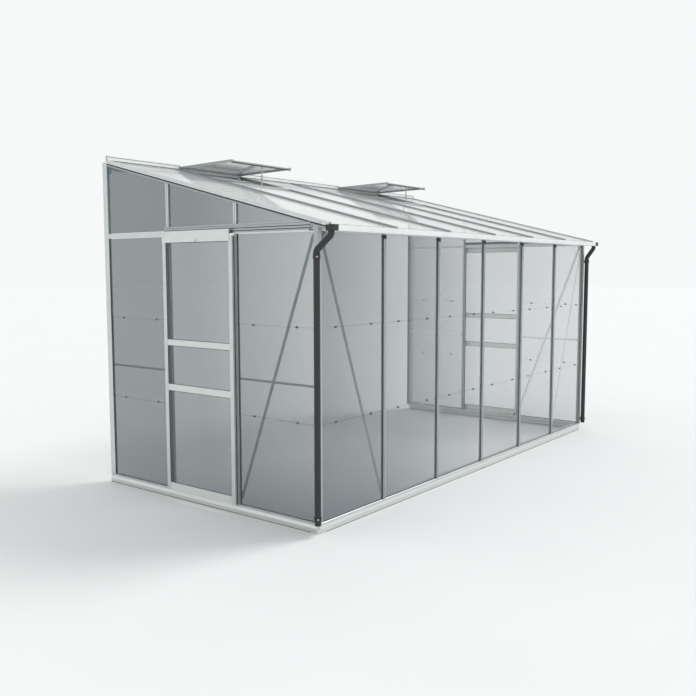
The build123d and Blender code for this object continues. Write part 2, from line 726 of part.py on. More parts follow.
def swan_neck():
    """Bent pipe from the gutter outlet to the downpipe, with a socket over the pipe."""
    foot = PIPE_TOP + SEAT
    path = FilletPolyline(
        (-HALF, SPIGOT_Y, up(SPIGOT_END) - SEAT),
        (-HALF, SPIGOT_Y, up(SPIGOT_END) - NECK_RUN),
        (-HALF - PIPE_X, PIPE_Y, up(foot) + NECK_RUN),
        (-HALF - PIPE_X, PIPE_Y, up(foot)),
        radius=NECK_BEND,
    )
    ring = Plane(origin=path @ 0, z_dir=path % 0) * (Circle(PIPE_RADIUS) - Circle(PIPE_RADIUS - PIPE_WALL))
    socket = Circle(PIPE_RADIUS + PIPE_WALL + SEAT) - Circle(PIPE_RADIUS + SEAT)
    collar_foot = up(foot) - NECK_SOCKET + SEAT
    collar = extrude(Plane(origin=(-HALF - PIPE_X, PIPE_Y, collar_foot)) * socket, NECK_SOCKET)
    rim = Circle(PIPE_RADIUS + PIPE_WALL + SEAT) - Circle(PIPE_RADIUS - PIPE_WALL)
    cap = extrude(Plane(origin=(-HALF - PIPE_X, PIPE_Y, up(foot))) * rim, PIPE_WALL)
    return sweep(ring, path) + collar + cap


def downpipe():
    """Round rainwater pipe in front of the corner post."""
    ring = Circle(PIPE_RADIUS) - Circle(PIPE_RADIUS - PIPE_WALL)
    plane = Plane(origin=(-HALF - PIPE_X, PIPE_Y, up(PIPE_BOTTOM)))
    return extrude(plane * ring, PIPE_TOP - PIPE_BOTTOM)


def pipe_clip(z):
    """Ring clip round the downpipe with a tab to the corner post."""
    centre = (-HALF - PIPE_X, PIPE_Y)
    outer = PIPE_RADIUS + SEAT + CLIP_WALL
    plane = Plane(origin=(centre[0], centre[1], up(z) - CLIP_HEIGHT / 2))
    dx, dy = PIPE_X - NOSE_OUT, -NOSE_OUT - PIPE_Y
    reach = math.hypot(dx, dy)
    tab = Rot(0, 0, math.degrees(math.atan2(dy, dx))) * rect(0, reach, -CLIP_TAB / 2, CLIP_TAB / 2)
    clip = extrude(plane * (Circle(outer) + tab - Circle(PIPE_RADIUS + SEAT)), CLIP_HEIGHT)
    keep_off = NOSE_OUT + SEAT
    return clip - box(-HALF - keep_off, 0, -keep_off, DEPTH, 0, up(ROOF_AT_FRONT))


def pipe_clips():
    """Two clips on each downpipe."""
    clips = []
    for z in (PIPE_BOTTOM + LOW_CLIP, PIPE_TOP - TOP_CLIP):
        clips += both_ends(pipe_clip(z))
    return clips


def course_heights():
    """Bottom and top of each course of wall glass, lapped like shingles."""
    steps = (SEAT,) + GLASS_LAPS + (EAVES - EDGE_GAP,)
    courses = []
    for i in range(len(steps) - 1):
        bottom = steps[i] if i == 0 else steps[i] - LAP / 2
        top = steps[i + 1] if i == len(steps) - 2 else steps[i + 1] + LAP / 2
        courses.append((bottom, top))
    return courses


def lapped_pane(width, bottom, top):
    """A pane whose foot stands out over the one below, as width, depth and height."""
    back = PANE_BACK
    foot = back - GLASS - LAP_GAP
    side = outline([(foot - GLASS, bottom), (foot, bottom), (back, top), (back - GLASS, top)])
    plane = Plane(origin=(0, 0, 0), x_dir=(0, 1, 0), z_dir=(1, 0, 0))
    return Pos(-width / 2, 0, 0) * extrude(plane * side, width)


def wall_panes(edges, place):
    """All courses of glass between two edges of a wall."""
    u0, u1 = edges
    return [place * lapped_pane(u1 - u0, bottom, top) for bottom, top in course_heights()]


def bay_edges(lines, bay, last_nose):
    """Edges of the glass in a bay between two uprights: clear of the noses of its bars or posts."""
    left = CORNER_LEG - NOSE_OUT if bay == 1 else NOSE_WIDTH / 2
    right = last_nose if bay == len(lines) - 1 else NOSE_WIDTH / 2
    return lines[bay - 1] + left + EDGE_GAP, lines[bay] - right - EDGE_GAP


def end_bay_edges(bay):
    """The same for a bay of the left end."""
    return bay_edges(END_LINES, bay, WALL_POST_NOSE)


def front_glass():
    """Three courses of glass in each front bay."""
    panes = []
    for bay in range(1, FRONT_BAYS + 1):
        edges = bay_edges(FRONT_LINES, bay, CORNER_LEG - NOSE_OUT)
        panes += wall_panes(edges, Pos(-HALF + sum(edges) / 2, EAVES_FACE, FOOT))
    return panes


def end_glass():
    """Three courses of glass in the side bays of the left end."""
    panes = []
    for bay in range(1, END_BAYS + 1):
        if bay != DOOR_BAY:
            edges = end_bay_edges(bay)
            panes += wall_panes(edges, Pos(-HALF - NOSE_OUT, sum(edges) / 2, FOOT) * Rot(0, 0, -90))
    return panes


def gable_glass():
    """Panes between the cross rails and the rafter of the left end."""
    bottom = up(EAVES + TRANSOM_HEIGHT) + EDGE_GAP
    below = RAFTER_DEPTH + EDGE_GAP
    tip = (bottom + GABLE_PANE_TIP - roof_z(0, below)) / SLOPE
    x = -HALF - NOSE_OUT + PANE_BACK - GLASS
    panes = []
    for bay in range(1, END_BAYS + 1):
        y0, y1 = end_bay_edges(bay)
        y0 = max(y0, tip)
        face = outline([(y0, bottom), (y1, bottom), (y1, roof_z(y1, below)), (y0, roof_z(y0, below))])
        panes.append(Pos(x, 0, 0) * extrude(Plane.YZ * face, GLASS))
    return panes


def roof_glass():
    """One long pane in each roof bay, cut short under a vent."""
    y0 = -ROOF_OVERHANG + EDGE_GAP
    panes = []
    for bay in range(1, FRONT_BAYS + 1):
        y1 = VENT_SILL_AT + VENT_SILL_WIDTH if bay in VENT_BAYS else BACK_OF_BARS
        half = BAY / 2 - NOSE_WIDTH / 2 - EDGE_GAP
        plane = roof_frame(bay_left(bay) + BAY / 2, y0)
        panes.append(extrude(plane * rect(-half, half, PANE_BACK - GLASS, PANE_BACK), slope_length(y0, y1)))
    return panes


def door_stiles():
    """Grooved uprights of the left door."""
    slot = GLASS / 2 + SEAT
    z0, z1 = up(DOOR_BOTTOM), up(DOOR_TOP)
    inner_edge = DOOR_FRONT + STILE_WIDTH
    front = box(DOOR_OUTER, DOOR_INNER, DOOR_FRONT, inner_edge, z0, z1)
    front -= box(DOOR_MIDDLE - slot, DOOR_MIDDLE + slot, inner_edge - DOOR_GROOVE, inner_edge, z0, z1)
    inner_edge = DOOR_BACK - STILE_WIDTH
    back = box(DOOR_OUTER, DOOR_INNER, inner_edge, DOOR_BACK, z0, z1)
    back -= box(DOOR_MIDDLE - slot, DOOR_MIDDLE + slot, inner_edge, inner_edge + DOOR_GROOVE, z0, z1)
    return [front, back]


def door_rail_heights():
    """Bottom and top of each cross rail of a door."""
    return ((DOOR_BOTTOM, KICK_TOP),) + MID_RAILS + ((HEADER_BOTTOM, DOOR_TOP),)


def door_rails():
    """Cross rails of the left door between its stiles."""
    x0, x1 = DOOR_MIDDLE - RAIL_DEPTH / 2, DOOR_MIDDLE + RAIL_DEPTH / 2
    y0, y1 = DOOR_FRONT + STILE_WIDTH + SEAT, DOOR_BACK - STILE_WIDTH - SEAT
    return [box(x0, x1, y0, y1, up(low), up(high)) for low, high in door_rail_heights()]


def door_header():
    """Cover plate across the top of the left door, standing up in front of the track."""
    x1 = DOOR_OUTER - SEAT
    y0, y1 = DOOR_FRONT + HEADER_INSET, DOOR_BACK - SEAT
    return box(x1 - HEADER_THICK, x1, y0, y1, up(HEADER_BOTTOM), up(HEADER_BOTTOM + HEADER_HEIGHT))


def door_rollers():
    """Two rollers on axles behind the left door's cover plate, standing on the track's lip."""
    z = up(EAVES) + TRACK_LIP + SEAT + ROLLER_RADIUS
    wheel_x = TRACK_OUTER - TRACK_LIP_OUT + ROLLER_WIDTH / 2 + ROLLER_OFF_EDGE
    axle = wheel_x - DOOR_OUTER
    rollers = []
    for y in (DOOR_FRONT + ROLLER_INSET, DOOR_BACK - ROLLER_INSET):
        wheel = Pos(wheel_x, y, z) * Rot(0, 90, 0) * Cylinder(ROLLER_RADIUS, ROLLER_WIDTH)
        rollers.append(wheel + Pos(DOOR_OUTER + axle / 2, y, z) * Rot(0, 90, 0) * Cylinder(AXLE_RADIUS, axle))
    return rollers


def door_glass():
    """Three panes of the left door, held in the stiles' grooves between the rails."""
    x0, x1 = DOOR_MIDDLE - GLASS / 2, DOOR_MIDDLE + GLASS / 2
    into_stile = STILE_WIDTH - DOOR_GROOVE + SEAT
    y0, y1 = DOOR_FRONT + into_stile, DOOR_BACK - into_stile
    heights = door_rail_heights()
    panes = []
    for lower, upper in zip(heights[:-1], heights[1:]):
        panes.append(box(x0, x1, y0, y1, up(lower[1]) + SEAT, up(upper[0]) - SEAT))
    return panes


def flipped(shapes):
    """The same pieces at the right end."""
    return [mirrored(shape) for shape in shapes]


def nodes():
    """Every node of the greenhouse with its solids."""
    half_joint = SEAT / 2
    run = HALF - CORNER_PIECE + BASE_OUT
    front_run = base_run_front(-run, -half_joint)
    doors = {
        "door_stiles": door_stiles(),
        "door_rails": door_rails(),
        "door_header": [door_header()],
        "door_rollers": door_rollers(),
        "door_glass": door_glass(),
    }
    left_only = {
        "door_posts": door_posts(),
        "transoms": transoms(),
        "door_track": [door_track()],
        "end_glass": end_glass(),
        "gable_glass": gable_glass(),
        "downpipe": [downpipe()],
    }
    made = {
        "base_front_left": [front_run],
        "base_front_right": [mirrored(front_run)],
        "base_left_end": [base_run_end()],
        "base_right_end": [mirrored(base_run_end())],
        "base_connectors": both_ends(base_corner()) + [base_joint_plate()],
        "sill_front": [sill_front()],
        "sill_left": [sill_end()],
        "sill_right": [mirrored(sill_end())],
        "corner_posts": both_ends(corner_post()),
        "wall_posts": both_ends(wall_post()),
        "front_glazing_bars": front_glazing_bars(),
        "eaves_beam": [eaves_beam()],
        "gutter_floor": [gutter_floor()],
        "gutter_front": [gutter_front()],
        "gutter_back": [gutter_back()],
        "end_rafters": both_ends(end_rafter()),
        "roof_bars": roof_bars(),
        "wall_plate": [wall_plate()],
        "flashing": flashing(),
        "vent_hinge_bars": vent_hinge_bars(),
        "vent_side_rails": vent_side_rails(),
        "vent_cross_rails": vent_cross_rails(),
        "vent_glass": vent_glass(),
        "vent_sills": vent_sills(),
        "vent_stays": vent_stays(),
        "front_braces": both_ends(front_brace()),
        "end_braces": both_ends(end_brace()),
        "mid_bars": mid_bars_left() + flipped(mid_bars_left()),
        "corner_gussets": both_ends(corner_gusset()),
        "gutter_outlets": both_ends(gutter_outlet()),
        "swan_necks": both_ends(swan_neck()),
        "pipe_clips": pipe_clips(),
        "front_glass": front_glass(),
        "roof_glass": roof_glass(),
    }
    for name, solids in {**left_only, **doors}.items():
        made["left_" + name] = solids
        made["right_" + name] = flipped(solids)
    return made


def main():
    """Write one file for each node, centred on the origin."""
    os.makedirs("parts", exist_ok=True)
    for name, shapes in nodes().items():
        solids = [solid for shape in shapes for solid in shape.solids()]
        node = Pos(0, -Y_MIDDLE, 0) * (solids[0] if len(solids) == 1 else Compound(solids))
        export_step(node, "parts/" + name + ".step")


main()
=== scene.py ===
"""A lean-to greenhouse of aluminium and glass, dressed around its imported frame."""

import math

import bmesh
import bpy
from mathutils import Euler, Matrix, Vector


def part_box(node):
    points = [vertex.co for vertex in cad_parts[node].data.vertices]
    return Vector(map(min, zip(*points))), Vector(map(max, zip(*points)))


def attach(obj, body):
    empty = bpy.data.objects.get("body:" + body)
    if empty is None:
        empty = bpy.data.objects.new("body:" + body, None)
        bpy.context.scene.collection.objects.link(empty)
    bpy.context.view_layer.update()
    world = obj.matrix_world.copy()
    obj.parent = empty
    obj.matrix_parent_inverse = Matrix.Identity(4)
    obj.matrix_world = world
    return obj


bl_info = {
    "name": "Lean-to greenhouse",
    "version": (1, 0, 0),
    "blender": (4, 5, 0),
    "location": "3D View > Sidebar > Greenhouse",
    "description": "Adds finishes, seals, clips, bolts and door fittings to a lean-to greenhouse frame",
    "category": "Add Mesh",
}

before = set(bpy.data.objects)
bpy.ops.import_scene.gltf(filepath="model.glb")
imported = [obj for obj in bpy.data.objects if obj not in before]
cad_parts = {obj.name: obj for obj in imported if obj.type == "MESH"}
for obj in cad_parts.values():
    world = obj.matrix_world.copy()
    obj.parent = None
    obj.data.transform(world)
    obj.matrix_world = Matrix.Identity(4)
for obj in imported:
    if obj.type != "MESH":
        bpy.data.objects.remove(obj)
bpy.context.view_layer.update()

# The greenhouse's measures in metres, from the middle of the front glazing line and the foot of the glass
MM = 0.001
BAY = 620 * MM
FRONT_BAYS = 6
END_BAYS = 3
VENT_BAYS = (1, 4)
HALF = FRONT_BAYS * BAY / 2
DEPTH = END_BAYS * BAY
FRONT_LINE = -866.5 * MM
GLASS_FOOT = 60 * MM
WALL_FACE = 6 * MM
EAVES = 1604 * MM
ROOF_AT_FRONT = 1668 * MM
PITCH = math.radians(14.1)
LAPS = (545 * MM, 1080 * MM)
HALF_LAP = 5 * MM
NOSE = 12 * MM
CORNER_NOSE = 24 * MM
WALL_POST_NOSE = 46 * MM
DOOR_POSTS = (BAY, 1214 * MM)
PANE_FOOT_DEPTH = 4.3 * MM
PANE_TOP_DEPTH = 7.7 * MM
GLASS = 3 * MM
FLANGE_BACK = 13 * MM
VENT_FRONT = 1283.6 * MM
VENT_RISE = math.radians(1.1)
ENDS = ((-1, "left"), (1, "right"))

# Where the parts of the frame lie that carry the fittings
ROOF_OVERHANG = 85 * MM
ROOF_SEAL_END = 1806 * MM
VENT_BAY_SEAL_END = 1302 * MM
RAFTER_END = 1803 * MM
RAFTER_FACE = 12 * MM
REAR_BAY_CLIPS = DOOR_POSTS[1] - 19 * MM
HALF_WEB = 1.7 * MM
HALF_FLANGE = 13 * MM
BEHIND_FLANGE = (-19.8 * MM, -13.2 * MM)
BRACE_TOP = Vector((36 * MM, 1585 * MM))
BRACE_FOOT = Vector((607 * MM, 32 * MM))
BRACE_NUT_INSET = 14 * MM
FLAT_BAR = 3.3 * MM
MID_BAR = 757 * MM
MID_BAR_NUTS = (30 * MM, DOOR_POSTS[0] - 12 * MM, DOOR_POSTS[1] + 12 * MM, DEPTH - 14 * MM)
GUSSET_NUTS = (60 * MM, 80 * MM)
EAVES_BACK = -40.2 * MM
SILL_BEADS = (-10.5 * MM, -3.5 * MM)
BASE_BOLTS = -47 * MM
BASE_CORNER = 62 * MM
BASE_FACE = 3 * MM
BASE_FOOT = ((-59.9 * MM, -57 * MM), (-1 * MM, 3.4 * MM))
PIPE_OUT = 34 * MM
PIPE_AT = -20 * MM
PIPE_CLIPS = (38 * MM, 1464 * MM)
PIPE_SOCKET = 1479 * MM
GUTTER_END = HALF - 20.2 * MM
GUTTER_FACE = -122.1 * MM
FLASHING_FACE = 1814 * MM
WALL_STRIP = (1852 * MM, 1859.8 * MM)
PLATE_SCREWS = (1837.9 * MM, 2085 * MM)
VENT_REAR = 1800 * MM
VENT_PEG = (1290.5 * MM, 2070 * MM)
VENT_SEAL = (1285 * MM, 1288 * MM)
DOOR_FRONT = 622 * MM
DOOR_BACK = 1238 * MM
DOOR_OUTER = 24 * MM
DOOR_INNER = 12 * MM
DOOR_SCREWS = (20 * MM, 660 * MM, 943 * MM)
DOOR_PANES = ((46 * MM, 640 * MM), (680 * MM, 925 * MM), (962 * MM, 1563 * MM))
HEADER_FACE = 27.2 * MM
ROLLER_LINE = 1616.3 * MM
TRACK = (41 * MM, 1237 * MM)
TRACK_GROOVES = (1618 * MM, 1633 * MM, 1648 * MM)

# How far a fitting sinks into what carries it, so that no light shows between them
BITE = 0.1 * MM

# Edges that turn by more than this are softened and shaded as edges
SHARP = math.radians(35)

# The sizes of the patterns in the materials, and the tones that keep a paler, softer sheen
DIE_LINE_RUN = 900 * MM
OXIDE_CLOUD = 90 * MM
HAZE_PATCH = 900 * MM
PALE_TONES = ("bright_aluminium", "door_aluminium")


def linear(code):
    """A hex colour as linear red, green and blue."""
    parts = [int(code[i:i + 2], 16) / 255 for i in (1, 3, 5)]
    return tuple(p / 12.92 if p <= 0.04045 else ((p + 0.055) / 1.055) ** 2.4 for p in parts)


def length(name, description, size):
    """A length that a user may change."""
    return bpy.props.FloatProperty(name=name, description=description, default=size, min=0.0, unit="LENGTH")


def colour(name, description, code):
    """A colour that a user may change."""
    return bpy.props.FloatVectorProperty(
        name=name, description=description, default=linear(code), size=3, min=0.0, max=1.0, subtype="COLOR"
    )


class GreenhouseSizes(bpy.types.PropertyGroup):
    """Sizes of the small fittings"""

    clip_width: length("Lap clip width", "Width of the steel clips where two panes lap", 13 * MM)
    clip_inset: length("Lap clip inset", "From the bar on the left to the first clip of a bay", 155 * MM)
    clip_spacing: length("Lap clip spacing", "Between the two clips of a bay", 333 * MM)
    seal_width: length("Seal width", "How far a glazing seal reaches over the glass", 4 * MM)
    seal_height: length("Seal height", "How far a glazing seal stands off the glass", 1.5 * MM)
    nut_across: length("Nut size", "Across the flats of the frame's nuts", 10 * MM)
    screw_head: length("Screw head", "Width of the pan heads on the doors and vents", 8 * MM)
    die_line: length("Die line spacing", "Between the fine lines that run along a pressed profile", 5 * MM)
    spangle: length("Zinc spangle", "Width of the crystals in the zinc coat", 14 * MM)


class GreenhouseColours(bpy.types.PropertyGroup):
    """Colours of the materials"""

    aluminium: colour("Aluminium", "Mill-finish aluminium", "#D2D5D5")
    # A darker copy of the mill finish: painted shade on the corner posts, front bars and door tracks
    dull_aluminium: colour("Dull aluminium", "Mill finish that has dulled, on bars and tracks", "#B2B8B9")
    # A still darker copy of the mill finish: painted shade on the roof bars, the vents and the rafters' lower
    # edges
    roof_aluminium: colour("Roof aluminium", "Weathered mill finish, on roof and vents", "#A4A9A9")
    # A lit copy of the mill finish: painted light on the braces, mid bars, gutter and flashing, and painted
    # highlights on edges
    bright_aluminium: colour("Bright aluminium", "Braces, gutter, flashing and rubbed edges", "#EEF0F0")
    door_aluminium: colour("Door aluminium", "Header and rails of the doors", "#D9DEDB")
    zinc: colour("Zinc", "Hot-dip zinc on the steel base", "#E4E7E7")
    # The dark wall glass body is partly the glass's grey-green tint and partly painted shade on what is seen
    # through it
    glass: colour("Glass", "Body of the float glass in the walls", "#43585F")
    # The pale roof glass bodies are a painted reflection of the sky, showing as the roof panes turn away
    roof_glass: colour("Roof glass", "Body of the roof glass by its left end", "#CACDCD")
    pale_glass: colour("Pale glass", "Body of the roof glass by its right end", "#C8CBCB")
    # A darker copy of the glass body for the raised vents: painted shade
    vent_glass: colour("Vent glass", "Body of the glass in the raised vents", "#7A7E7F")
    glass_edge: colour("Glass edge", "Cut edges of the float glass", "#C2D2CE")
    upvc: colour("Rainwater pipe", "Black extruded PVC", "#1C1F20")
    nylon: colour("Nylon", "Black moulded nylon", "#151718")
    rubber: colour("Rubber seal", "Glazing seal of EPDM rubber", "#3A3F40")
    # A paler copy of the seal rubber: painted light on the roof seals and the track's top groove
    grey_rubber: colour("Grey seal", "Glazing seal of the roof, greyed by the sun", "#969B9B")
    stainless: colour("Stainless clip", "Sprung stainless steel", "#6C7273")
    bright_zinc: colour("Bolts", "Bright zinc plate on nuts and bolts", "#D4D6D4")
    floor: colour("Floor", "Matt studio floor", "#DBDCDC")


def at(x, y, z):
    """A place in the row frame, measured from the front glazing line and the foot of the glass."""
    return Vector((x, y + FRONT_LINE, z + GLASS_FOOT))


def place(origin, along, up, out):
    """A wall's own directions: along it, up it and out of it."""
    matrix = Matrix((along, up, out)).transposed().to_4x4()
    matrix.translation = origin
    return matrix


def front_wall():
    """The front wall, from its left corner, with its outer face at zero."""
    return place(at(-HALF, -WALL_FACE, 0), (1, 0, 0), (0, 0, 1), (0, -1, 0))


def end_wall(side):
    """An end wall, from the front corner, with its outer face at zero."""
    return place(at(side * (HALF + WALL_FACE), 0, 0), (0, 1, 0), (0, 0, 1), (side, 0, 0))


def roof_plane():
    """The roof, from the left end at the front glazing line, with the tops of the bars at zero."""
    slope = (0, math.cos(PITCH), math.sin(PITCH))
    out = (0, -math.sin(PITCH), math.cos(PITCH))
    return place(at(-HALF, 0, ROOF_AT_FRONT), (1, 0, 0), slope, out)


def up_slope(y):
    """The way up the roof to a distance back from the front glazing line."""
    return y / math.cos(PITCH)


def plain_place():
    """Along the front, back to the house and up, from the front glazing line and the foot of the glass."""
    return place(at(0, 0, 0), (1, 0, 0), (0, 1, 0), (0, 0, 1))


class Bench:
    """The shapes of one piece while they are made, each in the directions of the wall it is fixed to."""

    def __init__(self, where):
        self.mesh = bmesh.new()
        self.where = where

    def skin(self, rings):
        """A closed shape over rings of the same number of points."""
        rows = [[self.mesh.verts.new(self.where @ Vector(point)) for point in ring] for ring in rings]
        count = len(rows[0])
        for lower, upper in zip(rows[:-1], rows[1:]):
            for i in range(count):
                j = (i + 1) % count
                self.mesh.faces.new((lower[i], lower[j], upper[j], upper[i]))
        self.mesh.faces.new(rows[0][::-1])
        self.mesh.faces.new(rows[-1])

    def block(self, u, v, w):
        """A block between two values each of along, up and out."""
        corners = ((u[0], v[0]), (u[1], v[0]), (u[1], v[1]), (u[0], v[1]))
        self.skin([[(a, b, c) for a, b in corners] for c in w])

    def run(self, section, u):
        """A profile of up and out points, run along the wall."""
        self.skin([[(a, b, c) for b, c in section] for a in u])

    def turned(self, centre, axis, profile, sides=16):
        """A turned shape from pairs of radius and height along an axis."""
        axis = Vector(axis).normalized()
        across = axis.orthogonal().normalized()
        other = axis.cross(across)
        rings = []
        for radius, height in profile:
            ring = []
            for i in range(sides):
                turn = 2 * math.pi * i / sides
                spoke = across * math.cos(turn) + other * math.sin(turn)
                ring.append(Vector(centre) + axis * height + spoke * radius)
            rings.append(ring)
        self.skin(rings)

    def nut(self, centre, axis, across):
        """A hexagon nut on a washer, with the end of its bolt."""
        corner = across / 2 / math.cos(math.pi / 6)
        self.turned(centre, axis, [(1.3 * corner, 0), (1.3 * corner, 0.14 * across)], 20)
        body = [(0.9 * corner, 0.14), (corner, 0.22), (corner, 0.6), (0.9 * corner, 0.68)]
        self.turned(centre, axis, [(r, h * across) for r, h in body], 6)
        self.turned(centre, axis, [(0.3 * across, 0.6 * across), (0.3 * across, 0.9 * across),
                                   (0.24 * across, 0.97 * across)], 12)

    def dome(self, centre, axis, width, height):
        """A domed bolt head."""
        shape = ((0.5, 0.0), (0.5, 0.25), (0.44, 0.6), (0.32, 0.85), (0.16, 0.97), (0.03, 1.0))
        self.turned(centre, axis, [(r * width, h * height) for r, h in shape], 18)


def strip_outline(path, thickness):
    """The outline of a thin strip bent along a path."""
    half = thickness / 2
    near, far = [], []
    for i, (a, b) in enumerate(path):
        before = path[max(i - 1, 0)]
        after = path[min(i + 1, len(path) - 1)]
        to_here = Vector((a - before[0], b - before[1]))
        onward = Vector((after[0] - a, after[1] - b))
        if to_here.length == 0:
            to_here = onward
        if onward.length == 0:
            onward = to_here
        to_here.normalize()
        onward.normalize()
        mitre = Vector((-to_here.y - onward.y, to_here.x + onward.x))
        mitre /= max(mitre.length_squared / 2, 0.5)
        near.append((a + mitre.x * half, b + mitre.y * half))
        far.append((a - mitre.x * half, b - mitre.y * half))
    return near + far[::-1]


def piece(name, bench, finish, body="greenhouse", soften=0.3 * MM):
    """Make the shapes on the bench into one piece that moves with a body."""
    mesh = bench.mesh
    bmesh.ops.recalc_face_normals(mesh, faces=mesh.faces)
    if soften:
        edges = [e for e in mesh.edges if len(e.link_faces) == 2 and e.calc_face_angle() > SHARP]
        bmesh.ops.bevel(mesh, geom=edges, offset=soften, segments=2, profile=0.6, affect="EDGES")
    data = bpy.data.meshes.new(name)
    mesh.to_mesh(data)
    mesh.free()
    data.materials.append(finish)
    data.polygons.foreach_set("use_smooth", [True] * len(data.polygons))
    data.set_sharp_from_angle(angle=SHARP)
    obj = bpy.data.objects.new(name, data)
    bpy.context.scene.collection.objects.link(obj)
    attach(obj, body)
    return obj


def settle(tree, node, inputs):
    """Link or set a node's inputs."""
    for socket, value in inputs.items():
        if isinstance(value, bpy.types.NodeSocket):
            tree.links.new(value, node.inputs[socket])
        else:
            node.inputs[socket].default_value = value


def add(tree, kind, inputs=None, **settings):
    """Add a node with its settings, and link or set its inputs."""
    node = tree.nodes.new(kind)
    for name, value in settings.items():
        setattr(node, name, value)
    settle(tree, node, inputs or {})
    return node


def blank_material(name):
    """A material with only its shader and output."""
    material = bpy.data.materials.new(name)
    material.use_nodes = True
    tree = material.node_tree
    tree.nodes.clear()
    shader = add(tree, "ShaderNodeBsdfPrincipled")
    add(tree, "ShaderNodeOutputMaterial", {"Surface": shader.outputs["BSDF"]})
    return material, tree, shader


def stretched(tree, size):
    """Object coordinates divided by a real size along each axis."""
    where = add(tree, "ShaderNodeTexCoord").outputs["Object"]
    scale = tuple(1 / s for s in size)
    return add(tree, "ShaderNodeMapping", {"Vector": where, "Scale": scale}).outputs["Vector"]


def shades(tree, value, tint, low, high):
    """A tint made a little darker and lighter by a pattern."""
    dark = tuple(c * low for c in tint) + (1.0,)
    light = tuple(min(c * high, 1.0) for c in tint) + (1.0,)
    mix = add(tree, "ShaderNodeMix", {"Factor": value, "A": dark, "B": light}, data_type="RGBA")
    return mix.outputs["Result"]


def ranged(tree, value, low, high):
    """A pattern from zero to one brought to another range."""
    scaled = add(tree, "ShaderNodeMapRange", {"Value": value, "To Min": low, "To Max": high})
    return scaled.outputs["Result"]


def sizes():
    """The sizes in the panel."""
    return bpy.context.scene.greenhouse_sizes


def colours():
    """The colours in the panel."""
    return bpy.context.scene.greenhouse_colours


def mill_aluminium(axis, kind="aluminium"):
    """Extruded 6063 aluminium, left as it came from the press, in one of its tones; some tones are lit or
    shaded copies of the finish, painted light or painted shade.
    """
    # Mill finish is a soft grey sheen, drawn out along the profile by fine die lines, with cloudy oxide.
    name = "mill_finish_" + kind + "_" + "xyz"[axis]
    if name in bpy.data.materials:
        return bpy.data.materials[name]
    material, tree, shader = blank_material(name)
    # Real die lines are well under a millimetre apart, so they are drawn coarser to show.
    lines = [sizes().die_line] * 3
    lines[axis] = DIE_LINE_RUN
    drawn = stretched(tree, lines)
    streak = add(tree, "ShaderNodeTexNoise", {"Vector": drawn, "Scale": 1.0, "Detail": 3.0}).outputs["Fac"]
    oxide = stretched(tree, [OXIDE_CLOUD] * 3)
    cloud = add(tree, "ShaderNodeTexNoise", {"Vector": oxide, "Scale": 1.0, "Detail": 4.0}).outputs["Fac"]
    both = add(tree, "ShaderNodeMath", {0: streak, 1: cloud, 2: 0.25}, operation="MULTIPLY_ADD")
    bump = add(tree, "ShaderNodeBump", {"Height": streak, "Strength": 0.10, "Distance": 0.3 * MM})
    settle(tree, shader, {
        "Base Color": shades(tree, both.outputs["Value"], getattr(colours(), kind), 0.80, 1.14),
        "Roughness": ranged(tree, streak, 0.34, 0.56),
        "Normal": bump.outputs["Normal"],
        "Metallic": 0.4 if kind in PALE_TONES else 0.8,
    })
    return material


def galvanised_steel():
    """Cold-folded steel sheet, hot-dip galvanised."""
    # The zinc freezes in flat crystals, so neighbouring patches catch the light differently.
    material, tree, shader = blank_material("galvanised_steel")
    spot = stretched(tree, [sizes().spangle] * 3)
    crystal = add(tree, "ShaderNodeTexVoronoi", {"Vector": spot, "Scale": 1.0}, feature="F1")
    grey = add(tree, "ShaderNodeSeparateColor", {"Color": crystal.outputs["Color"]}).outputs["Red"]
    rise = crystal.outputs["Distance"]
    bump = add(tree, "ShaderNodeBump", {"Height": rise, "Strength": 0.08, "Distance": 0.2 * MM})
    settle(tree, shader, {
        "Base Color": shades(tree, grey, colours().zinc, 0.86, 1.10),
        "Roughness": ranged(tree, grey, 0.42, 0.60),
        "Normal": bump.outputs["Normal"],
        "Metallic": 0.45,
    })
    return material


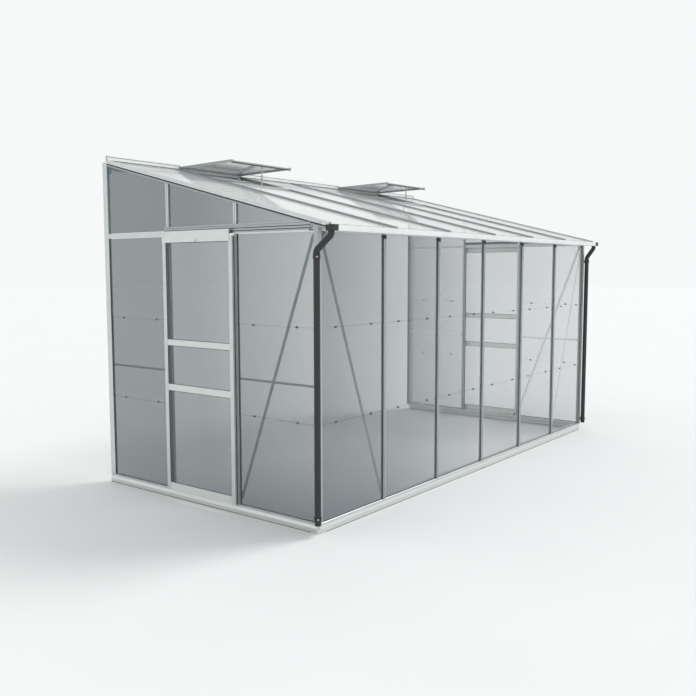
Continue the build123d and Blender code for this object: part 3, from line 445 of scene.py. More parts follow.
def float_glass(name, axis, tones, haze, reach=HALF, laps=()):
    """Clear 3 mm float glass, with the grey-green of thin soda-lime panes."""
    # A pane is clearest face on and whiter as it turns away, and its cut edges are green and denser. On the
    # pale roof body that whitening is a painted reflection of the sky.
    # The body's tone and its haze go from the left value at the left corner to the right one at reach, a
    # gradient of painted shade.
    material, tree, shader = blank_material("float_glass_" + name)
    facing = add(tree, "ShaderNodeNewGeometry").outputs["Normal"]
    across = add(tree, "ShaderNodeVectorMath", {0: facing, 1: axis}, operation="DOT_PRODUCT")
    flat = add(tree, "ShaderNodeMath", {0: across.outputs["Value"]}, operation="ABSOLUTE")
    rim = add(tree, "ShaderNodeMath", {0: flat.outputs["Value"], 1: 0.7}, operation="LESS_THAN")
    edge = rim.outputs["Value"]
    where = add(tree, "ShaderNodeTexCoord").outputs["Object"]
    spot = add(tree, "ShaderNodeSeparateXYZ", {"Vector": where})
    span = {"Value": spot.outputs["X"], "From Min": -HALF, "From Max": reach}
    run = add(tree, "ShaderNodeMapRange", span).outputs["Result"]
    patch = stretched(tree, [HAZE_PATCH] * 3)
    drift = add(tree, "ShaderNodeTexNoise", {"Vector": patch, "Scale": 1.0, "Detail": 1.0}).outputs["Fac"]
    sway = ranged(tree, drift, -0.12, 0.12)
    blend = add(tree, "ShaderNodeMath", {0: run, 1: sway}, operation="ADD", use_clamp=True).outputs["Value"]
    left, right = (tuple(tone) + (1.0,) for tone in tones)
    tint = add(tree, "ShaderNodeMix", {"Factor": blend, "A": left, "B": right}, data_type="RGBA")
    colour_over = {"Factor": edge, "A": tint.outputs["Result"], "B": tuple(colours().glass_edge) + (1.0,)}
    skin = add(tree, "ShaderNodeMix", colour_over, data_type="RGBA")

    # The left and right haze carry painted shade as well as the pane's own haze
    face_on, left_haze_and_shade, right_haze_and_shade = haze
    turned = ranged(tree, blend, left_haze_and_shade, right_haze_and_shade)
    graze = add(tree, "ShaderNodeLayerWeight", {"Blend": 0.30}).outputs["Facing"]
    near = add(tree, "ShaderNodeMapRange", {
        "Value": graze, "From Min": 0.05, "From Max": 0.22, "To Min": face_on, "To Max": turned,
    })
    far = add(tree, "ShaderNodeMapRange", {"Value": graze, "From Min": 0.45, "To Max": 0.94})
    slants = {0: near.outputs["Result"], 1: far.outputs["Result"]}
    pane = add(tree, "ShaderNodeMath", slants, operation="MAXIMUM").outputs["Value"]
    for lap in laps:
        # Where two panes lie on each other the haze would count twice, so each has less of it there.
        zone = {0: spot.outputs["Z"], 1: lap + GLASS_FOOT, 2: 1.2 * HALF_LAP}
        doubled = add(tree, "ShaderNodeMath", zone, operation="COMPARE").outputs["Value"]
        share = ranged(tree, doubled, 1.0, 0.62)
        pane = add(tree, "ShaderNodeMath", {0: pane, 1: share}, operation="MULTIPLY").outputs["Value"]
    cut = ranged(tree, edge, 0.0, 0.5)
    settle(tree, shader, {
        "Base Color": skin.outputs["Result"],
        "Alpha": add(tree, "ShaderNodeMath", {0: pane, 1: cut}, operation="MAXIMUM").outputs["Value"],
        "Roughness": 0.06,
        "IOR": 1.52,
    })
    return material


def black_upvc():
    """Unplasticised PVC, extruded for the pipes and moulded for the bends."""
    # Satin rather than glossy, with a slightly uneven skin.
    material, tree, shader = blank_material("black_upvc")
    spot = stretched(tree, [6 * MM] * 3)
    skin = add(tree, "ShaderNodeTexNoise", {"Vector": spot, "Scale": 1.0, "Detail": 3.0}).outputs["Fac"]
    bump = add(tree, "ShaderNodeBump", {"Height": skin, "Strength": 0.05, "Distance": 0.2 * MM})
    settle(tree, shader, {
        "Base Color": shades(tree, skin, colours().upvc, 0.8, 1.3),
        "Roughness": ranged(tree, skin, 0.30, 0.46),
        "Normal": bump.outputs["Normal"],
        "IOR": 1.53,
    })
    return material


def moulded_part(name, tint, roughness, grain):
    """A moulded part with a fine, even texture from its tool."""
    material, tree, shader = blank_material(name)
    spot = stretched(tree, [grain] * 3)
    skin = add(tree, "ShaderNodeTexNoise", {"Vector": spot, "Scale": 1.0, "Detail": 2.0}).outputs["Fac"]
    bump = add(tree, "ShaderNodeBump", {"Height": skin, "Strength": 0.08, "Distance": 0.1 * MM})
    settle(tree, shader, {
        "Base Color": shades(tree, skin, tint, 0.85, 1.2),
        "Roughness": ranged(tree, skin, roughness, roughness + 0.12),
        "Normal": bump.outputs["Normal"],
    })
    return material


def steel_fitting(name, tint, metallic, roughness):
    """A small plated or rolled steel part, a little uneven from handling."""
    material, tree, shader = blank_material(name)
    spot = stretched(tree, [4 * MM] * 3)
    rub = add(tree, "ShaderNodeTexNoise", {"Vector": spot, "Scale": 1.0, "Detail": 3.0}).outputs["Fac"]
    settle(tree, shader, {
        "Base Color": shades(tree, rub, tint, 0.85, 1.1),
        "Roughness": ranged(tree, rub, roughness, roughness + 0.18),
        "Metallic": metallic,
    })
    return material


def finishes():
    """Every shared material by its plain name, made once."""
    if "epdm_rubber" not in bpy.data.materials:
        tones = colours()
        galvanised_steel()
        black_upvc()
        moulded_part("moulded_nylon", tones.nylon, 0.42, 2 * MM)
        moulded_part("epdm_rubber", tones.rubber, 0.62, 3 * MM)
        moulded_part("sun_greyed_rubber", tones.grey_rubber, 0.70, 3 * MM)
        steel_fitting("zinc_plated_steel", tones.bright_zinc, 0.7, 0.30)
        steel_fitting("stainless_steel", tones.stainless, 0.9, 0.32)
        wall, roof = (tones.glass, tones.glass), (tones.roof_glass, tones.pale_glass)
        slant = (0, -math.sin(PITCH), math.cos(PITCH))
        # The front panes are hazier by the left corner and clear by the middle: painted shade
        float_glass("front", (0, 1, 0), wall, (0.08, 0.48, 0.10), 0.0, LAPS)
        float_glass("end", (1, 0, 0), wall, (0.10, 0.51, 0.51), laps=LAPS)
        float_glass("gable", (1, 0, 0), wall, (0.10, 0.56, 0.56))
        float_glass("door", (1, 0, 0), wall, (0.10, 0.455, 0.455))
        # The roof's pale body is a painted reflection of the sky
        float_glass("roof", slant, roof, (0.06, 0.22, 0.22))
        # The vents' darker, denser glass is painted shade
        float_glass("vent", (0, 0, 1), (tones.vent_glass, tones.vent_glass), (0.32, 0.64, 0.64))
    return bpy.data.materials


def dress(material, *names):
    """Give CAD nodes a material on every slot."""
    for name in names:
        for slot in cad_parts[name].material_slots:
            slot.material = material


def course_heights():
    """Bottom and top of each course of wall glass."""
    return (
        (0.3 * MM, LAPS[0] + HALF_LAP),
        (LAPS[0] - HALF_LAP, LAPS[1] + HALF_LAP),
        (LAPS[1] - HALF_LAP, EAVES - 2 * MM),
    )


def front_bay_edges():
    """Where the noses end on either side of each front bay, from the left corner."""
    edges = []
    for bay in range(FRONT_BAYS):
        left = CORNER_NOSE if bay == 0 else NOSE
        right = CORNER_NOSE if bay == FRONT_BAYS - 1 else NOSE
        edges.append((bay * BAY + left, (bay + 1) * BAY - right))
    return edges


def end_bay_edges():
    """The same for the three bays of an end wall, from the front corner."""
    near, far = DOOR_POSTS
    return [(CORNER_NOSE, near - NOSE), (near + NOSE, far - NOSE), (far + NOSE, DEPTH - WALL_POST_NOSE)]


def wall_seals(bench, edges):
    """Rubber seals between the noses and the lapped panes of one bay, and under the lowest pane."""
    wide, high = sizes().seal_width, sizes().seal_height
    for bottom, top in course_heights():
        for start, finish in ((edges[0], edges[0] + wide), (edges[1] - wide, edges[1])):
            rings = []
            for v, depth in ((bottom, PANE_FOOT_DEPTH), (top, PANE_TOP_DEPTH)):
                low, face = -depth - BITE, high - depth
                rings.append([(start, v, low), (finish, v, low), (finish, v, face), (start, v, face)])
            bench.skin(rings)
    foot = -PANE_FOOT_DEPTH
    bench.block((edges[0] + wide, edges[1] - wide), (0.5 * MM, 4.5 * MM), (foot, foot + high))


def lap_clip(bench, u, lap):
    """A sprung strip bent over the lower pane and under the upper one."""
    outside = -PANE_FOOT_DEPTH + 0.4 * MM
    between = -(PANE_FOOT_DEPTH + GLASS + PANE_TOP_DEPTH) / 2
    inside = -(PANE_TOP_DEPTH + GLASS) - 0.4 * MM
    under, over = lap - HALF_LAP - 0.4 * MM, lap + HALF_LAP + 0.4 * MM
    path = [
        (lap + 5 * MM, outside), (under, outside), (under, between),
        (over, between), (over, inside), (lap - 6 * MM, inside),
    ]
    half = sizes().clip_width / 2
    bench.run(strip_outline(path, 0.5 * MM), (u - half, u + half))


class FrameFinishes(bpy.types.Operator):
    """Give every part of the frame, the base and the pipes its own metal or plastic"""

    bl_idname = "greenhouse.frame_finishes"
    bl_label = "Frame finishes"

    def execute(self, context):
        known = finishes()
        dress(mill_aluminium(2), "wall_posts")
        # The corner posts and front bars take the darker copy, painted shade
        dress(mill_aluminium(2, "dull_aluminium"), "corner_posts", "front_glazing_bars")
        # The braces take the lit copy of the finish, painted light
        dress(mill_aluminium(2, "bright_aluminium"), "front_braces", "end_braces")
        dress(mill_aluminium(0), "sill_front", "eaves_beam", "wall_plate", "corner_gussets")
        # The flashing and gutter take the lit copy of the finish, painted light
        lit_finish = mill_aluminium(0, "bright_aluminium")
        dress(lit_finish, "flashing", "gutter_floor", "gutter_front", "gutter_back")
        dress(mill_aluminium(0), "vent_hinge_bars", "vent_sills")
        # The vent cross rails take the darker roof copy, painted shade
        dress(mill_aluminium(0, "roof_aluminium"), "vent_cross_rails")
        dress(mill_aluminium(1), "sill_left", "sill_right", "end_rafters")
        # The mid bars take the lit copy of the finish, painted light
        dress(mill_aluminium(1, "bright_aluminium"), "mid_bars")
        # The roof bars, vent side rails and stays take the darker roof copy, painted shade
        dress(mill_aluminium(1, "roof_aluminium"), "roof_bars", "vent_side_rails")
        dress(mill_aluminium(2, "roof_aluminium"), "vent_stays")
        dress(known["galvanised_steel"], "base_front_left", "base_front_right", "base_left_end")
        dress(known["galvanised_steel"], "base_right_end", "base_connectors")
        dress(known["black_upvc"], "gutter_outlets", "swan_necks", "pipe_clips")
        for _, end in ENDS:
            dress(mill_aluminium(2), end + "_door_posts", end + "_door_stiles")
            dress(mill_aluminium(1), end + "_transoms")
            # The door tracks take the darker copy, painted shade
            dress(mill_aluminium(1, "dull_aluminium"), end + "_door_track")
            dress(mill_aluminium(1, "door_aluminium"), end + "_door_rails", end + "_door_header")
            dress(known["black_upvc"], end + "_downpipe")
            dress(known["moulded_nylon"], end + "_door_rollers")
        return {"FINISHED"}


class GlassFinishes(bpy.types.Operator):
    """Give every pane its glass, with denser green edges"""

    bl_idname = "greenhouse.glass_finishes"
    bl_label = "Glass finishes"

    def execute(self, context):
        known = finishes()
        dress(known["float_glass_front"], "front_glass")
        dress(known["float_glass_roof"], "roof_glass")
        dress(known["float_glass_vent"], "vent_glass")
        for _, end in ENDS:
            dress(known["float_glass_end"], end + "_end_glass")
            dress(known["float_glass_gable"], end + "_gable_glass")
            dress(known["float_glass_door"], end + "_door_glass")
        return {"FINISHED"}


class GlazingSeals(bpy.types.Operator):
    """Add the rubber seals between bars and glass"""

    bl_idname = "greenhouse.glazing_seals"
    bl_label = "Glazing seals"

    def execute(self, context):
        rubber = finishes()["epdm_rubber"]
        grey = finishes()["sun_greyed_rubber"]
        bench = Bench(front_wall())
        for edges in front_bay_edges():
            wall_seals(bench, edges)
        piece("front_glazing_seals", bench, rubber, soften=0)
        for side, end in ENDS:
            bench = Bench(end_wall(side))
            for bay in (0, 2):
                wall_seals(bench, end_bay_edges()[bay])
            piece(end + "_glazing_seals", bench, rubber, soften=0)
        bench = Bench(roof_plane())
        wide = sizes().seal_width
        height = (-PANE_TOP_DEPTH - BITE, sizes().seal_height - PANE_TOP_DEPTH)
        start = up_slope(-ROOF_OVERHANG)
        for bay in range(FRONT_BAYS):
            stop = up_slope(VENT_BAY_SEAL_END if bay in VENT_BAYS else ROOF_SEAL_END)
            left, right = bay * BAY + NOSE, (bay + 1) * BAY - NOSE
            bench.block((left, left + wide), (start, stop), height)
            bench.block((right - wide, right), (start, stop), height)
        # The roof seals take the paler rubber, painted light
        piece("roof_glazing_seals", bench, grey, soften=0)
        # Dark strips in the end rafters' grooves: partly their glazing strips, partly painted shade deepening
        # the grooves
        stop = up_slope(RAFTER_END)
        bench = Bench(roof_plane())
        for u in ((-8 * MM, -4.1 * MM), (2 * HALF + 4.1 * MM, 2 * HALF + 8 * MM)):
            bench.block(u, (start, stop), (-30.9 * MM, -22.1 * MM))
        piece("rafter_groove_strips", bench, rubber, soften=0)
        # Along each end rafter a lit strip paints a highlight on the top edge and a darker strip paints shade
        # on the lower edge
        near, far = RAFTER_FACE - BITE, RAFTER_FACE + 0.5 * MM
        edges = (
            ("rafter_upper_beads", "bright_aluminium", (-21.9 * MM, -19.4 * MM)),
            ("rafter_lower_edges", "roof_aluminium", (-39.6 * MM, -31.4 * MM)),
        )
        for name, kind, height in edges:
            bench = Bench(roof_plane())
            for u in ((-far, -near), (2 * HALF + near, 2 * HALF + far)):
                bench.block(u, (start, stop), height)
            piece(name, bench, mill_aluminium(1, kind), soften=0)
        return {"FINISHED"}


class LapClips(bpy.types.Operator):
    """Add the steel clips where two panes of the walls lap"""

    bl_idname = "greenhouse.lap_clips"
    bl_label = "Lap clips"

    def execute(self, context):
        steel = finishes()["stainless_steel"]
        places = (sizes().clip_inset, sizes().clip_inset + sizes().clip_spacing)
        bench = Bench(front_wall())
        for bay in range(FRONT_BAYS):
            for lap in LAPS:
                for u in places:
                    lap_clip(bench, bay * BAY + u, lap)
        piece("front_lap_clips", bench, steel, soften=0)
        for side, end in ENDS:
            bench = Bench(end_wall(side))
            for start in (0, REAR_BAY_CLIPS):
                for lap in LAPS:
                    for u in places:
                        lap_clip(bench, start + u, lap)
            piece(end + "_lap_clips", bench, steel, soften=0)
        return {"FINISHED"}


class BarEnds(bpy.types.Operator):
    """Add the moulded blocks at the heads and feet of the bars"""

    bl_idname = "greenhouse.bar_ends"
    bl_label = "Bar ends"

    def execute(self, context):
        known = finishes()
        # The black blocks at the heads of the bars are moulded parts that also paint the shade under the
        # gutter
        bench = Bench(front_wall())
        for i in range(1, FRONT_BAYS):
            middle = i * BAY
            for v in ((EAVES - 17 * MM, EAVES - 0.5 * MM), (0.2 * MM, 9 * MM)):
                bench.block((middle - HALF_FLANGE, middle - HALF_WEB), v, BEHIND_FLANGE)
                bench.block((middle + HALF_WEB, middle + HALF_FLANGE), v, BEHIND_FLANGE)
        piece("front_bar_blocks", bench, known["moulded_nylon"], soften=0.8 * MM)
        # The caps on the noses are partly moulded parts and partly painted shade under the gutter
        bench = Bench(front_wall())
        for i in range(1, FRONT_BAYS):
            bench.block((i * BAY - 12.4 * MM, i * BAY + 12.4 * MM), (EAVES - 27 * MM, EAVES - 4 * MM),
                        (-4 * MM, 0.8 * MM))
        piece("front_bar_caps", bench, known["moulded_nylon"], soften=0.4 * MM)
        bench = Bench(roof_plane())
        front = up_slope(-ROOF_OVERHANG)
        over, under = -PANE_TOP_DEPTH + 0.6 * MM, -PANE_TOP_DEPTH - GLASS - 0.6 * MM
        nose = front - 0.7 * MM
        path = [(front + 9 * MM, over), (nose, over), (nose, under), (front + 14 * MM, under)]
        for bay in range(FRONT_BAYS):
            for share in (0.25, 0.75):
                middle = (bay + share) * BAY
                bench.run(strip_outline(path, 1.0 * MM), (middle - 10 * MM, middle + 10 * MM))
        piece("roof_glass_stops", bench, mill_aluminium(0), soften=0)
        return {"FINISHED"}


class FrameBolts(bpy.types.Operator):
    """Add the nuts that hold the braces, cross bars and gussets"""

    bl_idname = "greenhouse.frame_bolts"
    bl_label = "Frame bolts"

    def execute(self, context):
        zinc = finishes()["zinc_plated_steel"]
        across = sizes().nut_across
        inwards = (0, 0, -1)
        on_brace = -FLANGE_BACK - FLAT_BAR
        on_second = on_brace - FLAT_BAR
        inset = (BRACE_FOOT - BRACE_TOP).normalized() * BRACE_NUT_INSET
        ends = (BRACE_TOP + inset, BRACE_FOOT - inset)
        bench = Bench(front_wall())
        for u, v in ends:
            bench.nut((u, v, on_brace), inwards, across)
            bench.nut((2 * HALF - u, v, on_brace), inwards, across)
        for u in GUSSET_NUTS:
            bench.nut((u, EAVES - 12 * MM, on_second), inwards, across)
            bench.nut((2 * HALF - u, EAVES - 12 * MM, on_second), inwards, across)
        for i in range(1, FRONT_BAYS):
            for u in (-10 * MM, 10 * MM):
                bench.nut((i * BAY + u, EAVES + 8 * MM, EAVES_BACK), inwards, 0.8 * across)
        piece("front_frame_nuts", bench, zinc, soften=0)
        for side, end in ENDS:
            bench = Bench(end_wall(side))
            for u, v in ends:
                bench.nut((u, v, on_brace), inwards, across)
            for u in MID_BAR_NUTS:
                bench.nut((u, MID_BAR, on_second), inwards, 0.8 * across)
            piece(end + "_frame_nuts", bench, zinc, soften=0)
        return {"FINISHED"}


class BaseFittings(bpy.types.Operator):
    """Add the bolts of the steel base, the beads of the sills and a painted shadow strip along the base's
    foot
    """

    bl_idname = "greenhouse.base_fittings"
    bl_label = "Base fittings"

    def execute(self, context):
        known = finishes()
        out = (0, 0, 1)
        face = (-BITE, 0.8 * MM)
        bench = Bench(front_wall())
        for u in (HALF - 16 * MM, HALF + 16 * MM, BASE_CORNER, 2 * HALF - BASE_CORNER):
            bench.dome((u, BASE_BOLTS, BASE_FACE), out, 11 * MM, 3.5 * MM)
        piece("base_front_bolts", bench, known["zinc_plated_steel"], soften=0)
        for side, end in ENDS:
            bench = Bench(end_wall(side))
            for u in (BASE_CORNER, DEPTH - 30 * MM):
                bench.dome((u, BASE_BOLTS, BASE_FACE), out, 11 * MM, 3.5 * MM)
            piece(end + "_base_bolts", bench, known["zinc_plated_steel"], soften=0)
            bench = Bench(end_wall(side))
            for v in SILL_BEADS:
                bench.block((0, DEPTH - 0.5 * MM), (v - 0.7 * MM, v + 0.7 * MM), face)
            piece(end + "_sill_beads", bench, mill_aluminium(1), soften=0.2 * MM)
        bench = Bench(front_wall())
        for v in SILL_BEADS:
            bench.block((-5 * MM, 2 * HALF + 5 * MM), (v - 0.7 * MM, v + 0.7 * MM), face)
        piece("front_sill_beads", bench, mill_aluminium(0), soften=0.2 * MM)
        # A dark strip along the foot of the base is painted shadow where the base meets the floor
        strip = Bench(front_wall())
        strip.block((55 * MM, 2 * HALF - 55 * MM), *BASE_FOOT)
        for side, end in ENDS:
            strip.where = end_wall(side)
            strip.block((55 * MM, DEPTH - 2 * MM), *BASE_FOOT)
        piece("base_foot_seals", strip, known["epdm_rubber"], soften=0)
        return {"FINISHED"}


class GutterTrim(bpy.types.Operator):
    """Add the end seals of the gutter"""

    bl_idname = "greenhouse.gutter_trim"
    bl_label = "Gutter trim"

    def execute(self, context):
        known = finishes()
        bench = Bench(plain_place())
        for side in (-1, 1):
            edge = side * GUTTER_END
            u = sorted((edge, edge - side * 3 * MM))
            bench.block(u, (GUTTER_FACE - 0.6 * MM, GUTTER_FACE), (EAVES - 3 * MM, EAVES + 28 * MM))
        piece("gutter_end_seals", bench, known["epdm_rubber"], soften=0)
        return {"FINISHED"}


class PipeFittings(bpy.types.Operator):
    """Add the bolts of the pipe clips and the beads of the outlets and sockets"""

    bl_idname = "greenhouse.pipe_fittings"
    bl_label = "Pipe fittings"

    def execute(self, context):
        known = finishes()
        bolts = Bench(plain_place())
        beads = Bench(plain_place())
        for side in (-1, 1):
            x = side * (HALF + PIPE_OUT)
            lean = Vector((side * 0.72, -0.69, 0)).normalized()
            for z in PIPE_CLIPS:
                bolts.dome(Vector((x, PIPE_AT, z)) + lean * 21.1 * MM, lean, 9 * MM, 4 * MM)
            ring = [(19.7 * MM, 0), (20.8 * MM, 1 * MM), (20.8 * MM, 3 * MM), (19.7 * MM, 4 * MM)]
            beads.turned((x, PIPE_AT, PIPE_SOCKET), (0, 0, 1), ring, 32)
            beads.block((side * HALF - 21 * MM, side * HALF + 21 * MM), (-128 * MM, -126.9 * MM),
                        (EAVES + 21 * MM, EAVES + 28 * MM))
        piece("pipe_clip_bolts", bolts, known["zinc_plated_steel"], soften=0)
        piece("pipe_socket_beads", beads, known["black_upvc"])
        return {"FINISHED"}


class FlashingTrim(bpy.types.Operator):
    """Add the end caps, screws and sealing strip along the house wall, with lines of painted shade on the
    flashing
    """

    bl_idname = "greenhouse.flashing_trim"
    bl_label = "Flashing trim"

    def execute(self, context):
        known = finishes()
        caps = Bench(plain_place())
        screws = Bench(plain_place())
        low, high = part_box("flashing")
        bottom, top = low.z - GLASS_FOOT, high.z - GLASS_FOOT
        front = FLASHING_FACE
        runs = ((-HALF, -HALF + BAY), (-HALF + 2 * BAY, -HALF + 4 * BAY), (HALF - BAY, HALF))
        for start, stop in runs:
            for edge, way in ((start, -1), (stop, 1)):
                u = sorted((edge, edge + way * 1.6 * MM))
                caps.block(u, (front - 1 * MM, front + 5 * MM), (bottom - 0.5 * MM, top + 0.5 * MM))
            count = max(int((stop - start) / (300 * MM)), 1)
            for i in range(count):
                x = start + (i + 0.5) * (stop - start) / count
                screws.dome((x, front, bottom + 18 * MM), (0, -1, 0), 10 * MM, 4 * MM)
        piece("flashing_end_caps", caps, known["moulded_nylon"])
        piece("flashing_screws", screws, known["zinc_plated_steel"], soften=0)
        strip = Bench(plain_place())
        strip.block((20 * MM - HALF, HALF - 20 * MM), WALL_STRIP, (top, top + 2.5 * MM))
        # The two dark strips across the flashing's face are painted shade, one near its top edge and one near
        # its foot
        for start, stop in runs:
            for v, tall in ((bottom + 9 * MM, 5 * MM), (top - 8 * MM, 3 * MM)):
                strip.block((start + 2 * MM, stop - 2 * MM), (front - 0.4 * MM, front + BITE), (v, v + tall))
        piece("wall_sealing_strip", strip, known["epdm_rubber"], soften=0.5 * MM)
        fixings = Bench(plain_place())
        for i in range(FRONT_BAYS):
            x = -HALF + (i + 0.5) * BAY
            fixings.dome((x, *PLATE_SCREWS), (0, -1, 0), 12 * MM, 5 * MM)
        piece("wall_plate_screws", fixings, known["zinc_plated_steel"], soften=0)
        return {"FINISHED"}


class VentFittings(bpy.types.Operator):
    """Add the hinges, seals, screws and stay pegs of the open vents"""

    bl_idname = "greenhouse.vent_fittings"
    bl_label = "Vent fittings"

    def execute(self, context):
        known = finishes()
        rolls = Bench(plain_place())
        screws = Bench(plain_place())
        pegs = Bench(plain_place())
        seals = Bench(plain_place())
        leaf_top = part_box("vent_side_rails")[1].z - GLASS_FOOT
        for bay in VENT_BAYS:
            left = -HALF + bay * BAY
            right = left + BAY
            rolls.turned((left + 3 * MM, FLASHING_FACE, leaf_top - 7 * MM), (1, 0, 0),
                         [(4 * MM, 0), (4 * MM, BAY - 6 * MM)], 16)
            for x in (left + 13 * MM, right - 13 * MM):
                for y in (VENT_FRONT + 12 * MM, VENT_REAR):
                    drop = (y - VENT_FRONT) * math.sin(VENT_RISE) + BITE
                    screws.dome((x, y, leaf_top - drop), (0, 0, 1), sizes().screw_head, 2.5 * MM)
            pegs.turned((left + BAY / 2 - 12 * MM, *VENT_PEG), (1, 0, 0),
                        [(3 * MM, 0), (3 * MM, 24 * MM)], 14)
            under = (leaf_top - 21 * MM, leaf_top - 14 * MM)
            seals.block((left + 8 * MM, right - 8 * MM), VENT_SEAL, under)
        piece("vent_hinge_rolls", rolls, mill_aluminium(0), soften=0)
        piece("vent_screws", screws, known["zinc_plated_steel"], soften=0)
        piece("vent_stay_pegs", pegs, known["zinc_plated_steel"], soften=0)
        piece("vent_front_seals", seals, known["epdm_rubber"], soften=0.4 * MM)
        return {"FINISHED"}


def door_bolts(where):
    """Roller bolts on the header and screws on the rails."""
    out = (0, 0, 1)
    bench = Bench(where)
    for u in (DOOR_FRONT + 32 * MM, DOOR_BACK - 20 * MM):
        bench.dome((u, ROLLER_LINE, HEADER_FACE), out, 14 * MM, 4 * MM)
    for v in DOOR_SCREWS:
        for u in (DOOR_FRONT + 15 * MM, DOOR_BACK - 15 * MM):
            bench.dome((u, v, DOOR_OUTER), out, sizes().screw_head, 2.5 * MM)
    return bench


def door_pull(where):
    """The short pull below the middle of the header."""
    bench = Bench(where)
    middle = (DOOR_FRONT + DOOR_BACK) / 2
    across = (middle - 9 * MM, middle + 9 * MM)
    bench.block(across, (1565 * MM, 1577 * MM), (HEADER_FACE, HEADER_FACE + 5 * MM))
    return bench


def door_guides(where):
    """The two blocks that keep the foot of a door by the sill."""
    bench = Bench(where)
    for u in (DOOR_FRONT + 4 * MM, DOOR_BACK - 34 * MM):
        bench.block((u, u + 30 * MM), (-3 * MM, 18 * MM), (2.5 * MM, DOOR_INNER + 0.2 * MM))
    return bench


def door_brushes(where):
    """Draught strips on the inner face of the stiles."""
    bench = Bench(where)
    for u in (DOOR_FRONT + 2 * MM, DOOR_BACK - 6 * MM):
        bench.block((u, u + 4 * MM), (22 * MM, 1590 * MM), (3 * MM, DOOR_INNER + BITE))
    return bench


def door_seals(where):
    """A seal all round each pane of a door."""
    bench = Bench(where)
    face = (DOOR_OUTER + DOOR_INNER + GLASS) / 2
    height = (face, face + 2 * MM)
    wide = 3 * MM
    start, stop = DOOR_FRONT + 30 * MM, DOOR_BACK - 30 * MM
    for bottom, top in DOOR_PANES:
        for u in ((start, start + wide), (stop - wide, stop)):
            bench.block(u, (bottom, top), height)
        for v in ((bottom, bottom + wide), (top - wide, top)):
            bench.block((start + wide, stop - wide), v, height)
    return bench


def roller_hubs(where):
    """The turned hubs of the two rollers."""
    bench = Bench(where)
    for u in (DOOR_FRONT + 20 * MM, DOOR_BACK - 20 * MM):
        bench.turned((u, ROLLER_LINE, 17.2 * MM), (0, 0, 1), [(5 * MM, 0), (5 * MM, 3 * MM)], 16)
    return bench


def track_pins(where):
    """The pin that stops the door at the front end of its track."""
    bench = Bench(where)
    bench.turned((45 * MM, 1612 * MM, 18.2 * MM), (0, 0, 1),
                 [(3.5 * MM, 0), (3.5 * MM, 4 * MM), (2.8 * MM, 5 * MM)], 16)
    return bench


def groove_strips(where, grooves, face):
    """Strips that fill grooves of the track up to a face, painted shade in the grooves."""
    bench = Bench(where)
    for v in grooves:
        bench.block(TRACK, (v + BITE, v + 4.9 * MM), (2.8 * MM, face))
    return bench


def track_highlight(where):
    """A painted highlight along the lower edge of the track, where the headers pass."""
    bench = Bench(where)
    bench.block(TRACK, (1604.3 * MM, 1607.7 * MM), (18.1 * MM, 18.8 * MM))
    return bench


def transom_plugs(where):
    """Moulded plugs over the ends of the transom, by the corner post."""
    bench = Bench(where)
    for v in (1609 * MM, 1626 * MM):
        bench.dome((32 * MM, v, -BITE), (0, 0, 1), 8 * MM, 2.5 * MM)
    return bench


class DoorFittings(bpy.types.Operator):
    """Add the bolts, guides, brushes and seals of the sliding doors and their tracks"""

    bl_idname = "greenhouse.door_fittings"
    bl_label = "Door fittings"

    def execute(self, context):
        known = finishes()
        zinc = known["zinc_plated_steel"]
        nylon = known["moulded_nylon"]
        rubber = known["epdm_rubber"]
        metal = mill_aluminium(1)
        # The lit copy of the finish paints a highlight on the track's lower edge
        highlit = mill_aluminium(1, "bright_aluminium")
        for side, end in ENDS:
            where = end_wall(side)
            body = end + "_door"
            piece(end + "_door_bolts", door_bolts(where), zinc, body, soften=0)
            piece(end + "_door_pull", door_pull(where), metal, body, soften=1.5 * MM)
            piece(end + "_door_guides", door_guides(where), nylon, body, soften=1.5 * MM)
            piece(end + "_door_brushes", door_brushes(where), rubber, body, soften=0)
            piece(end + "_door_seals", door_seals(where), rubber, body, soften=0)
            piece(end + "_roller_hubs", roller_hubs(where), zinc, body)
            piece(end + "_track_pins", track_pins(where), zinc, soften=0)
            # Dark strips in the lower grooves are painted shade, the paler top strip is painted lighter, and
            # a lit strip paints a highlight on the lower edge
            strips = groove_strips(where, TRACK_GROOVES[:2], 4.8 * MM)
            piece(end + "_track_strips", strips, rubber, soften=0)
            cover = groove_strips(where, TRACK_GROOVES[2:], 5.6 * MM)
            piece(end + "_track_cover", cover, known["sun_greyed_rubber"], soften=0)
            piece(end + "_track_edge", track_highlight(where), highlit, soften=0)
            piece(end + "_transom_plugs", transom_plugs(where), nylon, soften=0)
        return {"FINISHED"}


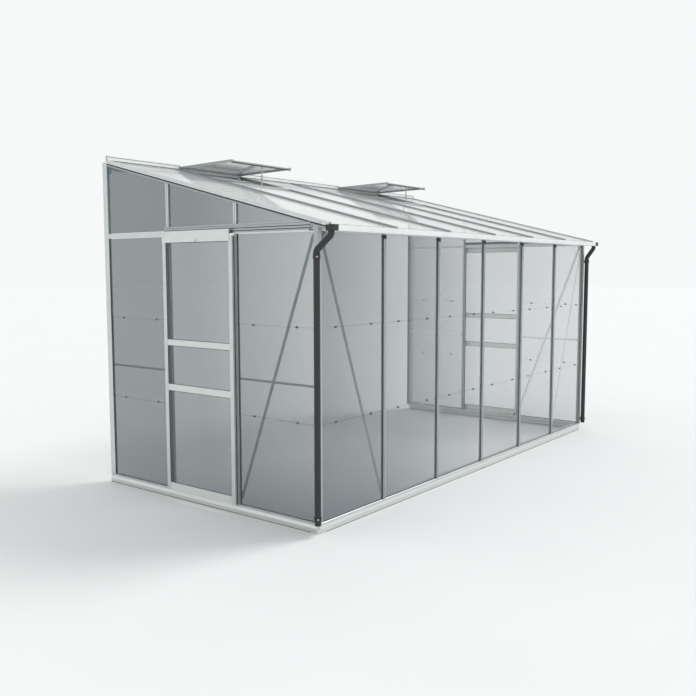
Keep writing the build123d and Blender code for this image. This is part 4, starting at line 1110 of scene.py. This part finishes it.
class StudioStage(bpy.types.Operator):
    """Add the floor, the light and the camera"""

    bl_idname = "greenhouse.studio_stage"
    bl_label = "Studio stage"

    def execute(self, context):
        scene = context.scene
        material, tree, shader = blank_material("matt_studio_floor")
        mottle = add(tree, "ShaderNodeTexNoise", {"Vector": stretched(tree, [0.8] * 3), "Scale": 1.0})
        tint = shades(tree, mottle.outputs["Fac"], tuple(colours().floor), 0.98, 1.02)
        tree.links.new(tint, shader.inputs["Base Color"])
        shader.inputs["Roughness"].default_value = 0.9
        mesh = bpy.data.meshes.new("studio_floor")
        reach = 60.0
        drop = -0.5 * MM
        corners = [(-reach, -reach, drop), (reach, -reach, drop), (reach, reach, drop), (-reach, reach, drop)]
        mesh.from_pydata(corners, [], [(0, 1, 2, 3)])
        mesh.materials.append(material)
        floor = bpy.data.objects.new("studio_floor", mesh)
        scene.collection.objects.link(floor)

        world = bpy.data.worlds.new("studio")
        world.use_nodes = True
        sky = world.node_tree.nodes["Background"]
        sky.inputs["Color"].default_value = linear("#F7F9F9") + (1.0,)
        sky.inputs["Strength"].default_value = 1.0
        scene.world = world
        sun = bpy.data.objects.new("key_light", bpy.data.lights.new("key_light", "SUN"))
        sun.data.energy = 1.6
        sun.data.angle = math.radians(24)
        sun.rotation_euler = Vector((-0.62, 0.28, -0.74)).to_track_quat("-Z", "Y").to_euler()
        scene.collection.objects.link(sun)

        camera = bpy.data.objects.new("camera", bpy.data.cameras.new("camera"))
        camera.data.lens = 41.83
        camera.data.sensor_width = 36.0
        camera.data.clip_end = 200.0
        camera.location = (-5.210, -3.6545, 1.456)
        yaw, pitch, roll = math.radians(52.346), math.radians(5.537), math.radians(0.083)
        look = Vector((math.sin(yaw) * math.cos(pitch), math.cos(yaw) * math.cos(pitch), -math.sin(pitch)))
        turn = look.to_track_quat("-Z", "Y") @ Euler((0, 0, -roll)).to_quaternion()
        camera.rotation_euler = turn.to_euler()
        scene.collection.objects.link(camera)
        scene.camera = camera
        scene.view_settings.view_transform = "Standard"
        return {"FINISHED"}


OPERATORS = (
    FrameFinishes, GlassFinishes, GlazingSeals, LapClips, BarEnds, FrameBolts, BaseFittings, GutterTrim,
    PipeFittings, FlashingTrim, VentFittings, DoorFittings, StudioStage,
)


class GreenhousePanel(bpy.types.Panel):
    """Lists the steps and what may be changed"""

    bl_idname = "VIEW3D_PT_greenhouse"
    bl_label = "Lean-to greenhouse"
    bl_space_type = "VIEW_3D"
    bl_region_type = "UI"
    bl_category = "Greenhouse"

    def draw(self, context):
        layout = self.layout
        for group in (context.scene.greenhouse_sizes, context.scene.greenhouse_colours):
            box = layout.box()
            for name in group.__annotations__:
                box.prop(group, name)
        for operator in OPERATORS:
            layout.operator(operator.bl_idname)


CLASSES = (GreenhouseSizes, GreenhouseColours) + OPERATORS + (GreenhousePanel,)


def register():
    for cls in CLASSES:
        bpy.utils.register_class(cls)
    bpy.types.Scene.greenhouse_sizes = bpy.props.PointerProperty(type=GreenhouseSizes)
    bpy.types.Scene.greenhouse_colours = bpy.props.PointerProperty(type=GreenhouseColours)


def unregister():
    del bpy.types.Scene.greenhouse_colours
    del bpy.types.Scene.greenhouse_sizes
    for cls in reversed(CLASSES):
        bpy.utils.unregister_class(cls)


def main():
    """Build the whole greenhouse."""
    register()
    bpy.ops.greenhouse.frame_finishes()
    bpy.ops.greenhouse.glass_finishes()
    bpy.ops.greenhouse.glazing_seals()
    bpy.ops.greenhouse.lap_clips()
    bpy.ops.greenhouse.bar_ends()
    bpy.ops.greenhouse.frame_bolts()
    bpy.ops.greenhouse.base_fittings()
    bpy.ops.greenhouse.gutter_trim()
    bpy.ops.greenhouse.pipe_fittings()
    bpy.ops.greenhouse.flashing_trim()
    bpy.ops.greenhouse.vent_fittings()
    bpy.ops.greenhouse.door_fittings()
    bpy.ops.greenhouse.studio_stage()


if __name__ == "__main__":
    main()
